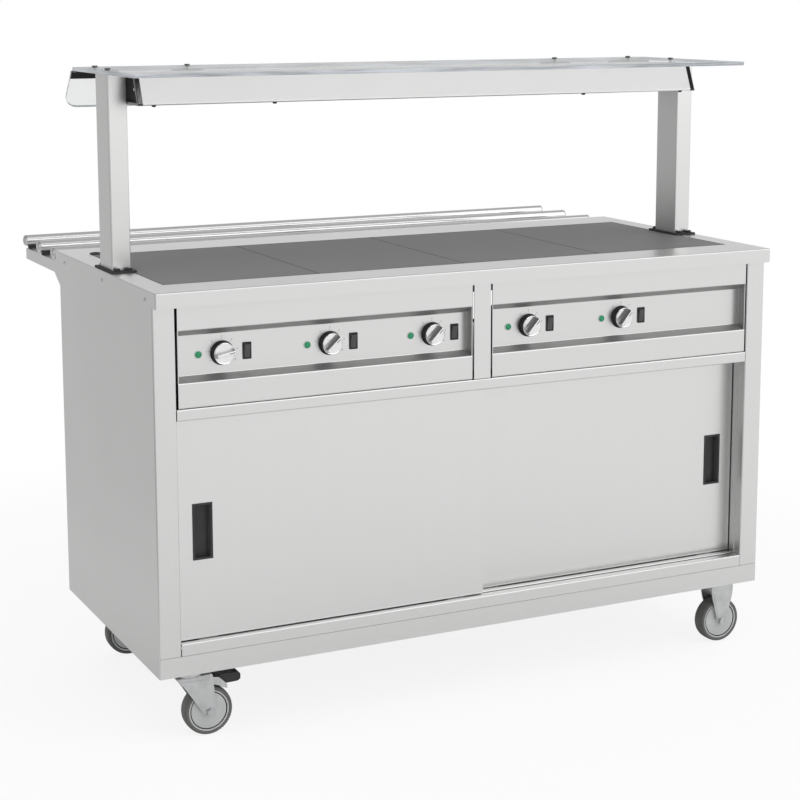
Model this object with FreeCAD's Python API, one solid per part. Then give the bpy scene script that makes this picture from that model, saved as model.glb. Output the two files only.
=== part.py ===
import FreeCAD, Part
import math
import os
from FreeCAD import Vector as V

# Mobile heated servery counter: a two-door hot cupboard on castors, a counter with four hot tiles,
# a glass-topped lamp gantry over it and a three-tube tray slide on the customer's side.
#
# Working frame: X runs along the counter with 0 at its middle, Y = 0 is the front face of the
# cabinet with +Y towards the customer, Z = 0 is the floor. FRAME_SHIFT moves the finished
# solids so that the origin is the middle of the whole footprint. All sizes are millimetres.

# ---- overall sizes ----
COUNTER_LENGTH = 1400.0
COUNTER_HEIGHT = 900.0
CABINET_DEPTH = 624.0
FRONT_OVERHANG = 20.0
REAR_OVERHANG = 30.0
CASTOR_HEIGHT = 146.0          # floor to the underside of the base frame

# ---- sheet metal ----
SHEET = 1.5
BEND = 1.5                     # inside radius of every fold
SEAM = 0.6                     # visible joint between two panels
EDGE_ROUND = BEND + SHEET

# ---- base frame and counter ----
BASE_HEIGHT = 40.0
BASE_FLANGE = 40.0
COUNTER_EDGE = 30.0
COUNTER_RETURN = 45.0          # width of the flange folded in under the counter

# ---- cabinet front ----
STILE_WIDTH = 45.0
CENTRE_STILE_WIDTH = 38.0
CENTRE_STILE_HAT = 9.0         # depth of the stiffening hat behind the centre stile
JAMB_DEPTH = 72.0
SIDE_RETURN = 20.0             # flange of a side panel along the back
PANEL_GAP = 4.0                # shadow gap each side of a control fascia
FASCIA_FLANGE = 18.0
FASCIA_FLAT = 47.0             # plain band at the top of the fascia
FASCIA_UPPER_SLANT = 13.5
FASCIA_RECESS = 78.0           # height of the set-back band that carries the controls
FASCIA_LOWER_SLANT = 10.0
FASCIA_SETBACK = 22.0
HEAD_TOP = 672.0
HEAD_HEIGHT = 23.0
SILL_HEIGHT = 25.0
TRACK_DEPTH = 11.0             # depth of the door grooves
TRACK_WIDTH = 10.0
TRACK_FRAME_DEPTH = 84.0       # front to back over the head rail and the sill

# ---- doors ----
DOOR_THICKNESS = 20.0
DOOR_SHEET = 1.2
FRONT_DOOR_SETBACK = 14.0
REAR_DOOR_SETBACK = 43.0
FRONT_DOOR_LAP = 11.5          # front door past the middle of the counter
REAR_DOOR_LAP = 11.5           # rear door past the middle, the other way
DOOR_SIDE_GAP = 2.0
DOOR_LIFT = 2.0                # gap under and over a door
GLIDE_LENGTH = 40.0
GLIDE_INSET = 60.0
GLIDE_PLAY = 0.5               # each side of a glide in its groove
GLIDE_LIFT = 0.8               # glide above the floor of its groove
BUFFER_WIDTH = 3.0
BUFFER_THICKNESS = 1.5
HANDLE_WIDTH = 41.0
HANDLE_HEIGHT = 112.0
HANDLE_CUP = 15.0
HANDLE_WALL = 2.0
HANDLE_RIM = 1.5
HANDLE_FRAME = 6.0             # width of the flat rim round the cup
HANDLE_Z = 426.0
HANDLE_INSET = 50.0            # handle centre to the outer edge of its door

# ---- controls ----
PILOT_OFFSET = 48.5            # first lamp from the left end of its fascia
KNOB_OFFSET = 48.0             # knob from its lamp
SWITCH_OFFSET = 99.0           # switch from its lamp
CONTROL_END = 30.5             # last switch from the right end of the left fascia
LEFT_CONTROLS = 3
RIGHT_CONTROLS = 2
PILOT_RADIUS = 7.0
PILOT_BODY_RADIUS = 5.0
PILOT_DEPTH = 18.0
KNOB_RADIUS = 22.5
KNOB_TAPER = 1.0
KNOB_BODY = 13.0
KNOB_GRIP = 12.0
KNOB_GRIP_WIDTH = 9.0
KNOB_ANGLES = (10.0, 42.0, 45.0, 48.0, 50.0)
SPINDLE_RADIUS = 3.0
SPINDLE_LENGTH = 24.0
RUNNING_FIT = 0.05             # radial clearance of a shaft that turns
COLLAR_RADIUS = 24.0
COLLAR_THICKNESS = 2.5
BUSH_RADIUS = 4.8
HOLE_CLEARANCE = 0.2
REGULATOR_SIZE = 36.0
REGULATOR_DEPTH = 26.0
SWITCH_FLANGE_WIDTH = 18.0
SWITCH_FLANGE_HEIGHT = 33.5
SWITCH_FLANGE = 1.5
SWITCH_BODY_WIDTH = 15.4
SWITCH_BODY_HEIGHT = 30.4
SWITCH_BODY_DEPTH = 24.0
ROCKER_WIDTH = 12.0
ROCKER_TIP = 13.0              # half height of the rocker's face
ROCKER_DEPTH = 7.5             # pivot to the rocker's tips
ROCKER_PIVOT = 4.0             # pivot behind the face of the fascia
ROCKER_TILT = 7.0              # either side of level
ROCKER_PIN = 1.5
MOVING_GAP = 0.3

# ---- hot tiles ----
TILE_COUNT = 4
TILE_BORDER = 50.0             # steel beside the end tiles
TILE_DEPTH = 463.0
TILE_THICKNESS = 6.0
TILE_SEAM = 2.0
TILE_FRONT = 79.0              # front edge of the tiles behind the cabinet front
LEDGE = 12.0
HEATER_THICKNESS = 4.0
HEATER_MARGIN = 20.0
TRAY_SHEET = 1.0
TRAY_DEPTH = 55.0
TRAY_LEAD = 8.0                # heater tray inside the edge of the tiles

# ---- gantry ----
POST_INSET = 30.0              # post centre to the end of the counter
POST_Y = 314.0
POST_WIDTH = 40.0
POST_DEPTH = 80.0
POST_WALL = 2.0
POST_PLATE_WIDTH = 54.0
POST_PLATE_DEPTH = 116.0
POST_PLATE = 4.0
GANTRY_HEIGHT = 1292.0         # underside of the glass shelf
BEAM_HEIGHT = 59.0
BEAM_TOP_WIDTH = 166.0
BEAM_BOTTOM_WIDTH = 216.0
BEAM_LIP = 14.0
CAP_THICKNESS = 2.0
LAMP_COUNT = 4
LAMP_RADIUS = 5.0
LAMP_SPACING = 30.0            # between the holders of two lamps
LAMP_DROP = 30.0               # lamp centre below the inside of the beam
HOLDER_SIZE = 22.0
SHELF_GLASS = 8.0
SHELF_FRONT = 229.0            # front edge of the shelf in front of the posts' centre
SHELF_BACK = 182.0
SHELF_INSET = 3.0
SCREEN_GLASS = 6.0
SCREEN_DROP = 79.0
SCREEN_REACH = 62.0
SCREEN_CORNER = 30.0
CLAMP_LENGTHS = (92.0, 60.0)   # at the shelf's ends, and between them
CLAMP_INNER_INSET = 250.0      # inner clamps from the ends of the counter
CLAMP_SHEET = 3.0
CLAMP_SEAT = 32.0              # clamp under the shelf, front to back
CLAMP_GRIP = 15.0              # clamp down the screen
STUD_RADIUS = 6.0
STUD_CAP = 2.5

# ---- tray slide ----
TUBE_RADIUS = 12.5
TUBE_WALL = 1.5
TUBE_INSET = 7.0
TUBE_Z = 886.0
TUBE_FIRST = 91.0              # first tube behind the cabinet's back
TUBE_PITCH = 118.0
TUBE_COUNT = 3
BRACKET_INSET = 31.0           # outer brackets from the ends of the counter
BRACKET_SHEET = 2.5
BRACKET_TOP = 868.0
BRACKET_FLANGE = 32.0
BRACKET_TIP = 25.0
BRACKET_KNEE = 95.0
BRACKET_FOOT = 79.0
SADDLE_LENGTH = 16.0
SADDLE_WIDTH = 22.0
SADDLE_GRIP = 2.5              # how far a saddle comes up round its tube

# ---- castors ----
WHEEL_RADIUS = 50.0
TYRE_HEIGHT = 8.0
TYRE_WIDTH = 31.0
HUB_WIDTH = 36.0
AXLE_RADIUS = 5.0
SWIVEL_INSET = 76.0            # swivelling castors, at the left end
FIXED_INSET = 63.0             # fixed castors, at the right end
CASTOR_INSET_Y = 58.0
TRAIL = 38.0
PLATE_LENGTH = 100.0
PLATE_WIDTH = 85.0
PLATE = 3.0
PLATE_BOLT_X = 80.0
PLATE_BOLT_Y = 60.0
FORK_SHEET = 3.0
LEG_GAP = 1.0                  # between the hub and a fork leg
RACE_RADIUS = 25.0
RACE_HEIGHT = 5.0
DISH_RADIUS = 28.0
DISH_HEIGHT = 10.0
KINGPIN_RADIUS = 6.0
BOLT_RADIUS = 4.0
BOLT_HEAD_RADIUS = 6.5
BOLT_HEAD = 5.0
PEDAL_WIDTH = 30.0
PEDAL_REACH = 106.0            # tip of the pedal from the swivel axis
PEDAL_PIVOT_X = 36.0
PEDAL_PIVOT_Z = 112.5
PEDAL_PIN = 3.0
PEDAL_HEEL = 12.0              # shoe below the pivot
PEDAL_ARM = 34.0               # pivot to the top of the shoe
PEDAL_SHOE = 26.0              # length of the shoe's underside
CROWN_LEAD = 30.0              # crown ahead of the kingpin
CROWN_TAIL = 44.0              # and behind it

# ---- fittings ----
LINER_GAP = 13.5               # insulation between side panel and liner
LINER_BACK_GAP = 22.0
SHELF_HEIGHT = 430.0
SHELF_DEPTH = 380.0
SHELF_EDGE = 20.0
SHELF_LIP = 12.0
BEARER_SIZE = 15.0
ELEMENT_RADIUS = 4.0
ELEMENT_LENGTH = 700.0
ELEMENT_LOOP = 40.0
ELEMENT_Z = 260.0
ELEMENT_TERMINAL = 30.0
SCREW_HEAD_RADIUS = 4.0
SCREW_HEAD = 1.6
SCREW_DROP = 19.0              # edge screws below the counter surface
SCREW_INSET = 40.0             # outer edge screws from the cabinet's front and back
GROMMET_RADIUS = 13.0
GROMMET_LIP = 4.0
GROMMET_BEHIND = 16.0          # grommet centre behind the tiles
GROMMET_INSET = 62.0
GLAND_RADIUS = 12.0
GLAND_THREAD = 0.6 * GLAND_RADIUS
GLAND_LENGTH = 22.0
GLAND_INSET = 90.0             # inlet gland from the left end
GLAND_RISE = 60.0              # inlet gland above the base frame
VENT_COUNT = 9
VENT_PITCH = 12.0
VENT_WIDTH = 5.0
VENT_LENGTH = 90.0

# ---- worked out from the sizes above ----
HALF = COUNTER_LENGTH / 2
BASE_TOP = CASTOR_HEIGHT + BASE_HEIGHT
CABINET_TOP = COUNTER_HEIGHT - COUNTER_EDGE
SLIDE_REACH = TUBE_FIRST + (TUBE_COUNT - 1) * TUBE_PITCH + TUBE_RADIUS
OVERALL_DEPTH = FRONT_OVERHANG + CABINET_DEPTH + SLIDE_REACH
FRAME_SHIFT = V(0, FRONT_OVERHANG - OVERALL_DEPTH / 2, 0)
HEAD_BOTTOM = HEAD_TOP - HEAD_HEIGHT
SILL_TOP = BASE_TOP + SILL_HEIGHT
FASCIA_LENGTH = HALF - STILE_WIDTH - CENTRE_STILE_WIDTH / 2 - 2 * PANEL_GAP
CONTROL_PITCH = (FASCIA_LENGTH - PILOT_OFFSET - SWITCH_OFFSET - CONTROL_END) / (LEFT_CONTROLS - 1)
FRONT_DOOR_WIDTH = HALF - STILE_WIDTH - DOOR_SIDE_GAP + FRONT_DOOR_LAP
REAR_DOOR_WIDTH = HALF - STILE_WIDTH - DOOR_SIDE_GAP + REAR_DOOR_LAP
LEFT_FASCIA_X = -HALF + STILE_WIDTH + PANEL_GAP
RIGHT_FASCIA_X = CENTRE_STILE_WIDTH / 2 + PANEL_GAP
RECESS_TOP = CABINET_TOP - FASCIA_FLAT - FASCIA_UPPER_SLANT
CONTROL_Z = RECESS_TOP - FASCIA_RECESS / 2
TILE_PITCH = (COUNTER_LENGTH - 2 * TILE_BORDER) / TILE_COUNT
TILE_X0 = -HALF + TILE_BORDER
TILE_REAR = TILE_FRONT + TILE_DEPTH
POST_X = HALF - POST_INSET
BEAM_HALF = POST_X - POST_WIDTH / 2
LAMP_PITCH = 2 * (BEAM_HALF - CAP_THICKNESS) / LAMP_COUNT
LAMP_LENGTH = LAMP_PITCH - 2 * HOLDER_SIZE - LAMP_SPACING
SHELF_TOP = GANTRY_HEIGHT + SHELF_GLASS
SHELF_REAR_Y = POST_Y + SHELF_BACK
TRACK_CENTRES = (FRONT_DOOR_SETBACK + DOOR_THICKNESS / 2, REAR_DOOR_SETBACK + DOOR_THICKNESS / 2)
LINER_X = HALF - SHEET - LINER_GAP
LINER_BACK = CABINET_DEPTH - LINER_BACK_GAP
LINER_TOP = HEAD_TOP - SEAM
BRACKET_X = (-HALF + BRACKET_INSET, 0.0, HALF - BRACKET_INSET)
LEG_INNER = HUB_WIDTH / 2 + LEG_GAP
AXLE_Z = WHEEL_RADIUS
FORK_TOP = CASTOR_HEIGHT - PLATE - RACE_HEIGHT - MOVING_GAP - DISH_HEIGHT
FIXED_AXLE_X = HALF - FIXED_INSET
SWIVEL_X = -HALF + SWIVEL_INSET
CASTOR_YS = {"front": CASTOR_INSET_Y, "rear": CABINET_DEPTH - CASTOR_INSET_Y}

X_AXIS = V(1, 0, 0)
Y_AXIS = V(0, 1, 0)
Z_AXIS = V(0, 0, 1)


# ---- shape helpers ----
def box(x0, x1, y0, y1, z0, z1):
    return Part.makeBox(x1 - x0, y1 - y0, z1 - z0, V(x0, y0, z0))


def rod(radius, start, axis, length):
    return Part.makeCylinder(radius, length, start, axis)


def fuse(shapes):
    return shapes[0].multiFuse(shapes[1:]).removeSplitter()


def rounded(shape, radius, direction):
    """Round the straight edges that run along one direction."""
    def runs_along(edge):
        ends = [vertex.Point for vertex in edge.Vertexes]
        return len(ends) == 2 and abs((ends[1] - ends[0]).normalize().dot(direction)) > 0.999
    return shape.makeFillet(radius, [edge for edge in shape.Edges if runs_along(edge)])


def along_x(points, x0, x1):
    """A prism from points given as (y, z)."""
    wire = Part.makePolygon([V(x0, y, z) for y, z in points + points[:1]])
    return Part.Face(wire).extrude(V(x1 - x0, 0, 0))


def along_y(points, y0, y1):
    """A prism from points given as (x, z)."""
    wire = Part.makePolygon([V(x, y0, z) for x, z in points + points[:1]])
    return Part.Face(wire).extrude(V(0, y1 - y0, 0))


def turned(points, centre, axis):
    """A solid of revolution from (distance along the axis, radius) points."""
    side = V(axis.y, axis.z, axis.x)
    corners = [centre + axis * along + side * radius for along, radius in points]
    return Part.Face(Part.makePolygon(corners + corners[:1])).revolve(centre, axis, 360)


def hexagon(radius, start, axis, height):
    """A bolt head or nut whose corners lie on the radius."""
    side = V(axis.y, axis.z, axis.x)
    other = axis.cross(side)
    corners = []
    for step in range(6):
        angle = math.radians(60 * step)
        corners.append(start + side * (radius * math.cos(angle)) + other * (radius * math.sin(angle)))
    return Part.Face(Part.makePolygon(corners + corners[:1])).extrude(axis * height)


def mirrored(shape):
    return shape.mirror(V(0, 0, 0), X_AXIS)


def folded(path, thickness, place, sweep, side=1):
    """A bent sheet: path is one skin, the other lies on its left (side 1) or right (side -1).

    place(u, v) puts a point of the section in space, and sweep is the vector it is extruded by.
    """
    points = [V(u, v, 0) for u, v in path]
    skins = ([], [])
    unit = [(b - a).normalize() for a, b in zip(points, points[1:])]
    normals = [V(-d.y * side, d.x * side, 0) for d in unit]
    starts = [points[0], points[0] + normals[0] * thickness]
    for index in range(1, len(points) - 1):
        before = unit[index - 1]
        after = unit[index]
        cross = before.cross(after).z
        half = before.getAngle(after) / 2
        radii = (BEND + thickness, BEND) if cross * side > 0 else (BEND, BEND + thickness)
        turn = 1 if cross > 0 else -1
        inward = Z_AXIS.cross(before) * turn
        centre = points[index] - before * (radii[0] * math.tan(half)) + inward * radii[0]
        first = inward * -1
        last = Z_AXIS.cross(after) * -turn
        middle = (first + last).normalize()
        for skin, radius in enumerate(radii):
            arc = [centre + way * radius for way in (first, middle, last)]
            skins[skin].append((starts[skin], arc[0]))
            skins[skin].append(tuple(arc))
            starts[skin] = arc[2]
    ends = [points[-1], points[-1] + normals[-1] * thickness]
    for skin in (0, 1):
        skins[skin].append((starts[skin], ends[skin]))
    caps = [(ends[0], ends[1]), (points[0], points[0] + normals[0] * thickness)]
    edges = []
    for piece in skins[0] + skins[1] + caps:
        spots = [place(p.x, p.y) for p in piece]
        if len(spots) == 3:
            edges.append(Part.Arc(spots[0], spots[1], spots[2]).toShape())
        elif (spots[1] - spots[0]).Length > 1e-6:
            edges.append(Part.LineSegment(spots[0], spots[1]).toShape())
    wire = Part.Wire(Part.__sortEdges__(edges))
    return Part.Face(wire).extrude(sweep)


def folded_x(path, x0, x1, side=1, thickness=SHEET):
    return folded(path, thickness, lambda y, z: V(x0, y, z), V(x1 - x0, 0, 0), side)


def folded_z(path, z0, z1, side=1, thickness=SHEET):
    return folded(path, thickness, lambda x, y: V(x, y, z0), V(0, 0, z1 - z0), side)


# ---- cabinet ----
def castor_places():
    """Where each castor's plate is centred, by name."""
    places = {}
    for end, x in (("left", SWIVEL_X), ("right", FIXED_AXLE_X)):
        for row, y in CASTOR_YS.items():
            places[row + "_" + end] = V(x, y, 0)
    return places


def plate_bolts(centre):
    return [centre + V(sx * PLATE_BOLT_X / 2, sy * PLATE_BOLT_Y / 2, 0)
            for sx in (-1, 1) for sy in (-1, 1)]


def base_frame():
    outer = rounded(box(-HALF, HALF, 0, CABINET_DEPTH, CASTOR_HEIGHT, BASE_TOP), EDGE_ROUND, Z_AXIS)
    channel = box(-HALF + SHEET, HALF - SHEET, SHEET, CABINET_DEPTH - SHEET,
                  CASTOR_HEIGHT + SHEET, BASE_TOP - SHEET)
    bay = box(-HALF + BASE_FLANGE, HALF - BASE_FLANGE, BASE_FLANGE, CABINET_DEPTH - BASE_FLANGE,
              CASTOR_HEIGHT - 1, BASE_TOP + 1)
    pads = []
    holes = []
    for centre in castor_places().values():
        reach_x = PLATE_LENGTH / 2 + 8
        reach_y = PLATE_WIDTH / 2 + 8
        outward = 1 if centre.x > 0 else -1
        edge_x = outward * (HALF - SHEET)
        inner_x = centre.x - outward * reach_x
        back = centre.y > CABINET_DEPTH / 2
        y0 = centre.y - reach_y if back else SHEET
        y1 = CABINET_DEPTH - SHEET if back else centre.y + reach_y
        pads.append(box(min(edge_x, inner_x), max(edge_x, inner_x), y0, y1,
                        CASTOR_HEIGHT, CASTOR_HEIGHT + 2 * SHEET))
        for spot in plate_bolts(centre):
            holes.append(rod(BOLT_RADIUS + HOLE_CLEARANCE, spot + V(0, 0, CASTOR_HEIGHT - 1),
                             Z_AXIS, 2 * SHEET + 2))
    frame = fuse([outer.cut(channel).cut(bay)] + pads)
    return frame.cut(Part.makeCompound(holes))


def side_panel():
    """The left side: one sheet folded round the front stile and back along the door opening."""
    x0 = -HALF
    x1 = -HALF + STILE_WIDTH
    path = [(x0 + SIDE_RETURN, CABINET_DEPTH), (x0, CABINET_DEPTH), (x0, 0), (x1, 0), (x1, JAMB_DEPTH)]
    panel = folded_z(path, BASE_TOP, CABINET_TOP)
    notch = box(x1 - 2 * EDGE_ROUND, x1 + 1, EDGE_ROUND, JAMB_DEPTH + 1, HEAD_TOP, CABINET_TOP + 1)
    joint = box(x0 - 1, x1 + 1, -1, SHEET + SEAM, BASE_TOP - 1, BASE_TOP + SEAM)
    buffers = [box(x1, x1 + BUFFER_THICKNESS, y - BUFFER_WIDTH / 2, y + BUFFER_WIDTH / 2,
                   SILL_TOP + SEAM, HEAD_BOTTOM - SEAM) for y in TRACK_CENTRES]
    return fuse([panel.cut(notch).cut(joint)] + buffers)


def back_panel():
    y1 = CABINET_DEPTH - SHEET
    half = HALF - SIDE_RETURN / 2
    panel = box(-half, half, y1 - SHEET, y1, BASE_TOP, CABINET_TOP)
    slots = []
    for centre in (-HALF / 2, HALF / 2):
        for step in range(VENT_COUNT):
            x = centre + (step - (VENT_COUNT - 1) / 2) * VENT_PITCH
            slot = box(x - VENT_WIDTH / 2, x + VENT_WIDTH / 2, y1 - SHEET - 1, y1 + 1,
                       HEAD_TOP + EDGE_ROUND, HEAD_TOP + EDGE_ROUND + VENT_LENGTH)
            slots.append(rounded(slot, VENT_WIDTH / 2 - 0.1, Y_AXIS))
    slots.append(rod(GLAND_THREAD + HOLE_CLEARANCE, gland_seat() - V(0, SHEET + 1, 0),
                     Y_AXIS, SHEET + 2))
    return panel.cut(Part.makeCompound(slots))


def cupboard_liner():
    """The inner box of the hot cupboard, open to the doors."""
    front = JAMB_DEPTH + DOOR_SIDE_GAP
    outer = box(-LINER_X, LINER_X, front, LINER_BACK, BASE_TOP, LINER_TOP)
    inner = box(-LINER_X + SHEET, LINER_X - SHEET, front - 1, LINER_BACK - SHEET,
                BASE_TOP + SHEET, LINER_TOP - SHEET)
    track_room = box(-LINER_X + SHEET, LINER_X - SHEET, front - 1, TRACK_FRAME_DEPTH + SEAM,
                     BASE_TOP - 1, LINER_TOP + 1)
    return outer.cut(inner).cut(track_room)


def cupboard_shelf():
    """The lift-out inner shelf on its two bearers."""
    half = LINER_X - SHEET - DOOR_SIDE_GAP
    y1 = LINER_BACK - SHEET - SEAM
    y0 = y1 - SHELF_DEPTH
    top = SHELF_HEIGHT
    path = [(y0 + SHELF_LIP, top - SHELF_EDGE), (y0, top - SHELF_EDGE), (y0, top),
            (y1, top), (y1, top - SHELF_EDGE)]
    plate = folded_x(path, -half, half, side=-1)
    bearer_top = top - SHELF_EDGE
    bearers = []
    for sign in (-1, 1):
        wall = sign * (LINER_X - SHEET)
        tip = wall - sign * BEARER_SIZE
        skin = wall - sign * SHEET
        points = [(wall, bearer_top), (tip, bearer_top), (tip, bearer_top - SHEET),
                  (skin, bearer_top - SHEET), (skin, bearer_top - BEARER_SIZE),
                  (wall, bearer_top - BEARER_SIZE)]
        bearers.append(along_y(points, y0 + EDGE_ROUND, y1))
    return Part.makeCompound([plate] + bearers)


def cupboard_element():
    """A sheathed heating element on two clips along the back of the cupboard."""
    y = LINER_BACK - SHEET - 3 * ELEMENT_RADIUS
    half = ELEMENT_LENGTH / 2
    ends = []
    for z in (ELEMENT_Z, ELEMENT_Z + ELEMENT_LOOP):
        ends.append(rod(ELEMENT_RADIUS, V(-half, y, z), X_AXIS, ELEMENT_LENGTH))
    middle = V(half, y, ELEMENT_Z + ELEMENT_LOOP / 2)
    bend = Part.makeTorus(ELEMENT_LOOP / 2, ELEMENT_RADIUS, middle, Y_AXIS)
    keep = box(half, half + ELEMENT_LOOP, y - ELEMENT_LOOP, y + ELEMENT_LOOP,
               ELEMENT_Z - ELEMENT_LOOP, ELEMENT_Z + 2 * ELEMENT_LOOP)
    loop = fuse(ends + [bend.common(keep)])
    clips = []
    for x in (-half / 2, half / 2):
        clip = box(x - 5, x + 5, y - ELEMENT_RADIUS - 2, LINER_BACK - SHEET,
                   ELEMENT_Z - ELEMENT_RADIUS - 3, ELEMENT_Z + ELEMENT_LOOP + ELEMENT_RADIUS + 3)
        clips.append(clip)
    terminal = box(-half - ELEMENT_TERMINAL, -half, y - 10, LINER_BACK - SHEET,
                   ELEMENT_Z - ELEMENT_TERMINAL / 2, ELEMENT_Z + ELEMENT_LOOP + ELEMENT_TERMINAL / 2)
    return fuse([loop] + clips + [terminal])


def centre_stile():
    """The upright between the two fascias, a flat front with a hat behind it."""
    half = CENTRE_STILE_WIDTH / 2
    face = box(-half, half, 0, SHEET, HEAD_TOP + SEAM, CABINET_TOP)
    inner = half - CENTRE_STILE_HAT
    path = [(-half + SHEET, SHEET), (-inner, SHEET), (-inner, SHEET + CENTRE_STILE_HAT),
            (inner, SHEET + CENTRE_STILE_HAT), (inner, SHEET), (half - SHEET, SHEET)]
    hat = folded_z(path, HEAD_TOP + SEAM, CABINET_TOP)
    return fuse([face, hat])


def track_path(skin, groove, seat_front, seat_back):
    """The section of a door track: skin is its smooth face, groove the far end of its grooves."""
    path = [(0, seat_front), (0, skin)]
    for centre in TRACK_CENTRES:
        y0 = centre - TRACK_WIDTH / 2
        y1 = centre + TRACK_WIDTH / 2
        path += [(y0, skin), (y0, groove), (y1, groove), (y1, skin)]
    return path + [(TRACK_FRAME_DEPTH, skin), (TRACK_FRAME_DEPTH, seat_back)]


def door_sill():
    half = HALF - STILE_WIDTH - SEAM
    path = track_path(SILL_TOP, SILL_TOP - TRACK_DEPTH, BASE_TOP + SEAM, BASE_TOP)
    return folded_x(path, -half, half, side=-1)


def door_head_rail():
    half = HALF - STILE_WIDTH
    path = track_path(HEAD_BOTTOM, HEAD_BOTTOM + TRACK_DEPTH, HEAD_TOP, HEAD_TOP)
    rail = folded_x([(FASCIA_FLANGE, HEAD_TOP)] + path, -half, half)
    joint = box(half - SEAM, half + 1, -1, EDGE_ROUND, HEAD_BOTTOM - 1, HEAD_TOP + 1)
    return rail.cut(joint).cut(mirrored(joint))


def control_places():
    """X of the pilot lamp of each control set, from left to right."""
    lefts = [LEFT_FASCIA_X + PILOT_OFFSET + CONTROL_PITCH * step for step in range(LEFT_CONTROLS)]
    rights = [RIGHT_FASCIA_X + PILOT_OFFSET + CONTROL_PITCH * step for step in range(RIGHT_CONTROLS)]
    return lefts + rights


def fascia(x0):
    """One control panel: folded to its stepped section, with cheeks closing the recess's ends."""
    upper = RECESS_TOP + FASCIA_UPPER_SLANT
    recess_bottom = RECESS_TOP - FASCIA_RECESS
    lower = recess_bottom - FASCIA_LOWER_SLANT
    path = [(FASCIA_FLANGE, CABINET_TOP), (0, CABINET_TOP), (0, upper),
            (FASCIA_SETBACK, RECESS_TOP), (FASCIA_SETBACK, recess_bottom),
            (0, lower), (0, HEAD_TOP + SEAM), (FASCIA_FLANGE, HEAD_TOP + SEAM)]
    panel = folded_x(path, x0, x0 + FASCIA_LENGTH)
    middle = SHEET / 2
    pocket = [(middle, upper), (FASCIA_SETBACK + middle, RECESS_TOP),
              (FASCIA_SETBACK + middle, recess_bottom), (middle, lower)]
    cheeks = [along_x(pocket, end, end + SHEET) for end in (x0, x0 + FASCIA_LENGTH - SHEET)]
    holes = []
    for x in control_places():
        if x0 < x < x0 + FASCIA_LENGTH:
            holes += control_holes(x)
    return fuse([panel] + cheeks).cut(Part.makeCompound(holes))


def control_holes(x):
    """The three holes of one control: pilot lamp, knob bush and rocker switch."""
    front = FASCIA_SETBACK - 1
    through = SHEET + 2
    lamp = rod(PILOT_BODY_RADIUS + HOLE_CLEARANCE, V(x, front, CONTROL_Z), Y_AXIS, through)
    bush = rod(BUSH_RADIUS + HOLE_CLEARANCE, V(x + KNOB_OFFSET, front, CONTROL_Z),
               Y_AXIS, through)
    half_x = SWITCH_BODY_WIDTH / 2 + HOLE_CLEARANCE
    half_z = SWITCH_BODY_HEIGHT / 2 + HOLE_CLEARANCE
    centre = x + SWITCH_OFFSET
    switch = box(centre - half_x, centre + half_x, front, front + through,
                 CONTROL_Z - half_z, CONTROL_Z + half_z)
    return [lamp, bush, switch]


# ---- controls ----
def pilot_lights():
    """Domed lenses, each on a body that goes through the fascia."""
    points = [(PILOT_DEPTH, 0), (PILOT_DEPTH, PILOT_BODY_RADIUS), (0, PILOT_BODY_RADIUS),
              (0, PILOT_RADIUS), (-1.5, PILOT_RADIUS), (-3.0, PILOT_RADIUS * 0.8),
              (-4.2, PILOT_RADIUS * 0.45), (-4.6, 0)]
    return Part.makeCompound([turned(points, V(x, FASCIA_SETBACK, CONTROL_Z), Y_AXIS)
                              for x in control_places()])


def control_bezels():
    """The collar round each knob and the housing of each rocker switch."""
    parts = []
    for x in control_places():
        start = V(x + KNOB_OFFSET, FASCIA_SETBACK - COLLAR_THICKNESS, CONTROL_Z)
        collar = rod(COLLAR_RADIUS, start, Y_AXIS, COLLAR_THICKNESS)
        parts.append(collar.cut(rod(BUSH_RADIUS + HOLE_CLEARANCE, start, Y_AXIS, COLLAR_THICKNESS)))
        parts.append(switch_housing(x + SWITCH_OFFSET))
    return Part.makeCompound(parts)


def switch_housing(x):
    y0 = FASCIA_SETBACK
    half_w = SWITCH_FLANGE_WIDTH / 2
    half_h = SWITCH_FLANGE_HEIGHT / 2
    flange = box(x - half_w, x + half_w, y0 - SWITCH_FLANGE, y0,
                 CONTROL_Z - half_h, CONTROL_Z + half_h)
    flange = rounded(flange, 2.0, Y_AXIS)
    half_w = SWITCH_BODY_WIDTH / 2
    half_h = SWITCH_BODY_HEIGHT / 2
    body = box(x - half_w, x + half_w, y0, y0 + SWITCH_BODY_DEPTH,
               CONTROL_Z - half_h, CONTROL_Z + half_h)
    half_w = ROCKER_WIDTH / 2 + MOVING_GAP
    half_h = rocker_reach() + MOVING_GAP
    well = box(x - half_w, x + half_w, y0 - SWITCH_FLANGE - 1, y0 + ROCKER_PIVOT + ROCKER_DEPTH,
               CONTROL_Z - half_h, CONTROL_Z + half_h)
    pins = rod(ROCKER_PIN + RUNNING_FIT, V(x - SWITCH_BODY_WIDTH / 2 - 1, y0 + ROCKER_PIVOT, CONTROL_Z),
               X_AXIS, SWITCH_BODY_WIDTH + 2)
    return fuse([flange, body]).cut(well).cut(pins)


def rocker_reach():
    """Half height of the space that the rocker's tips sweep."""
    tip = math.atan2(ROCKER_TIP, ROCKER_DEPTH) + math.radians(ROCKER_TILT)
    return math.hypot(ROCKER_TIP, ROCKER_DEPTH) * math.sin(min(tip, math.pi / 2))


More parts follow.
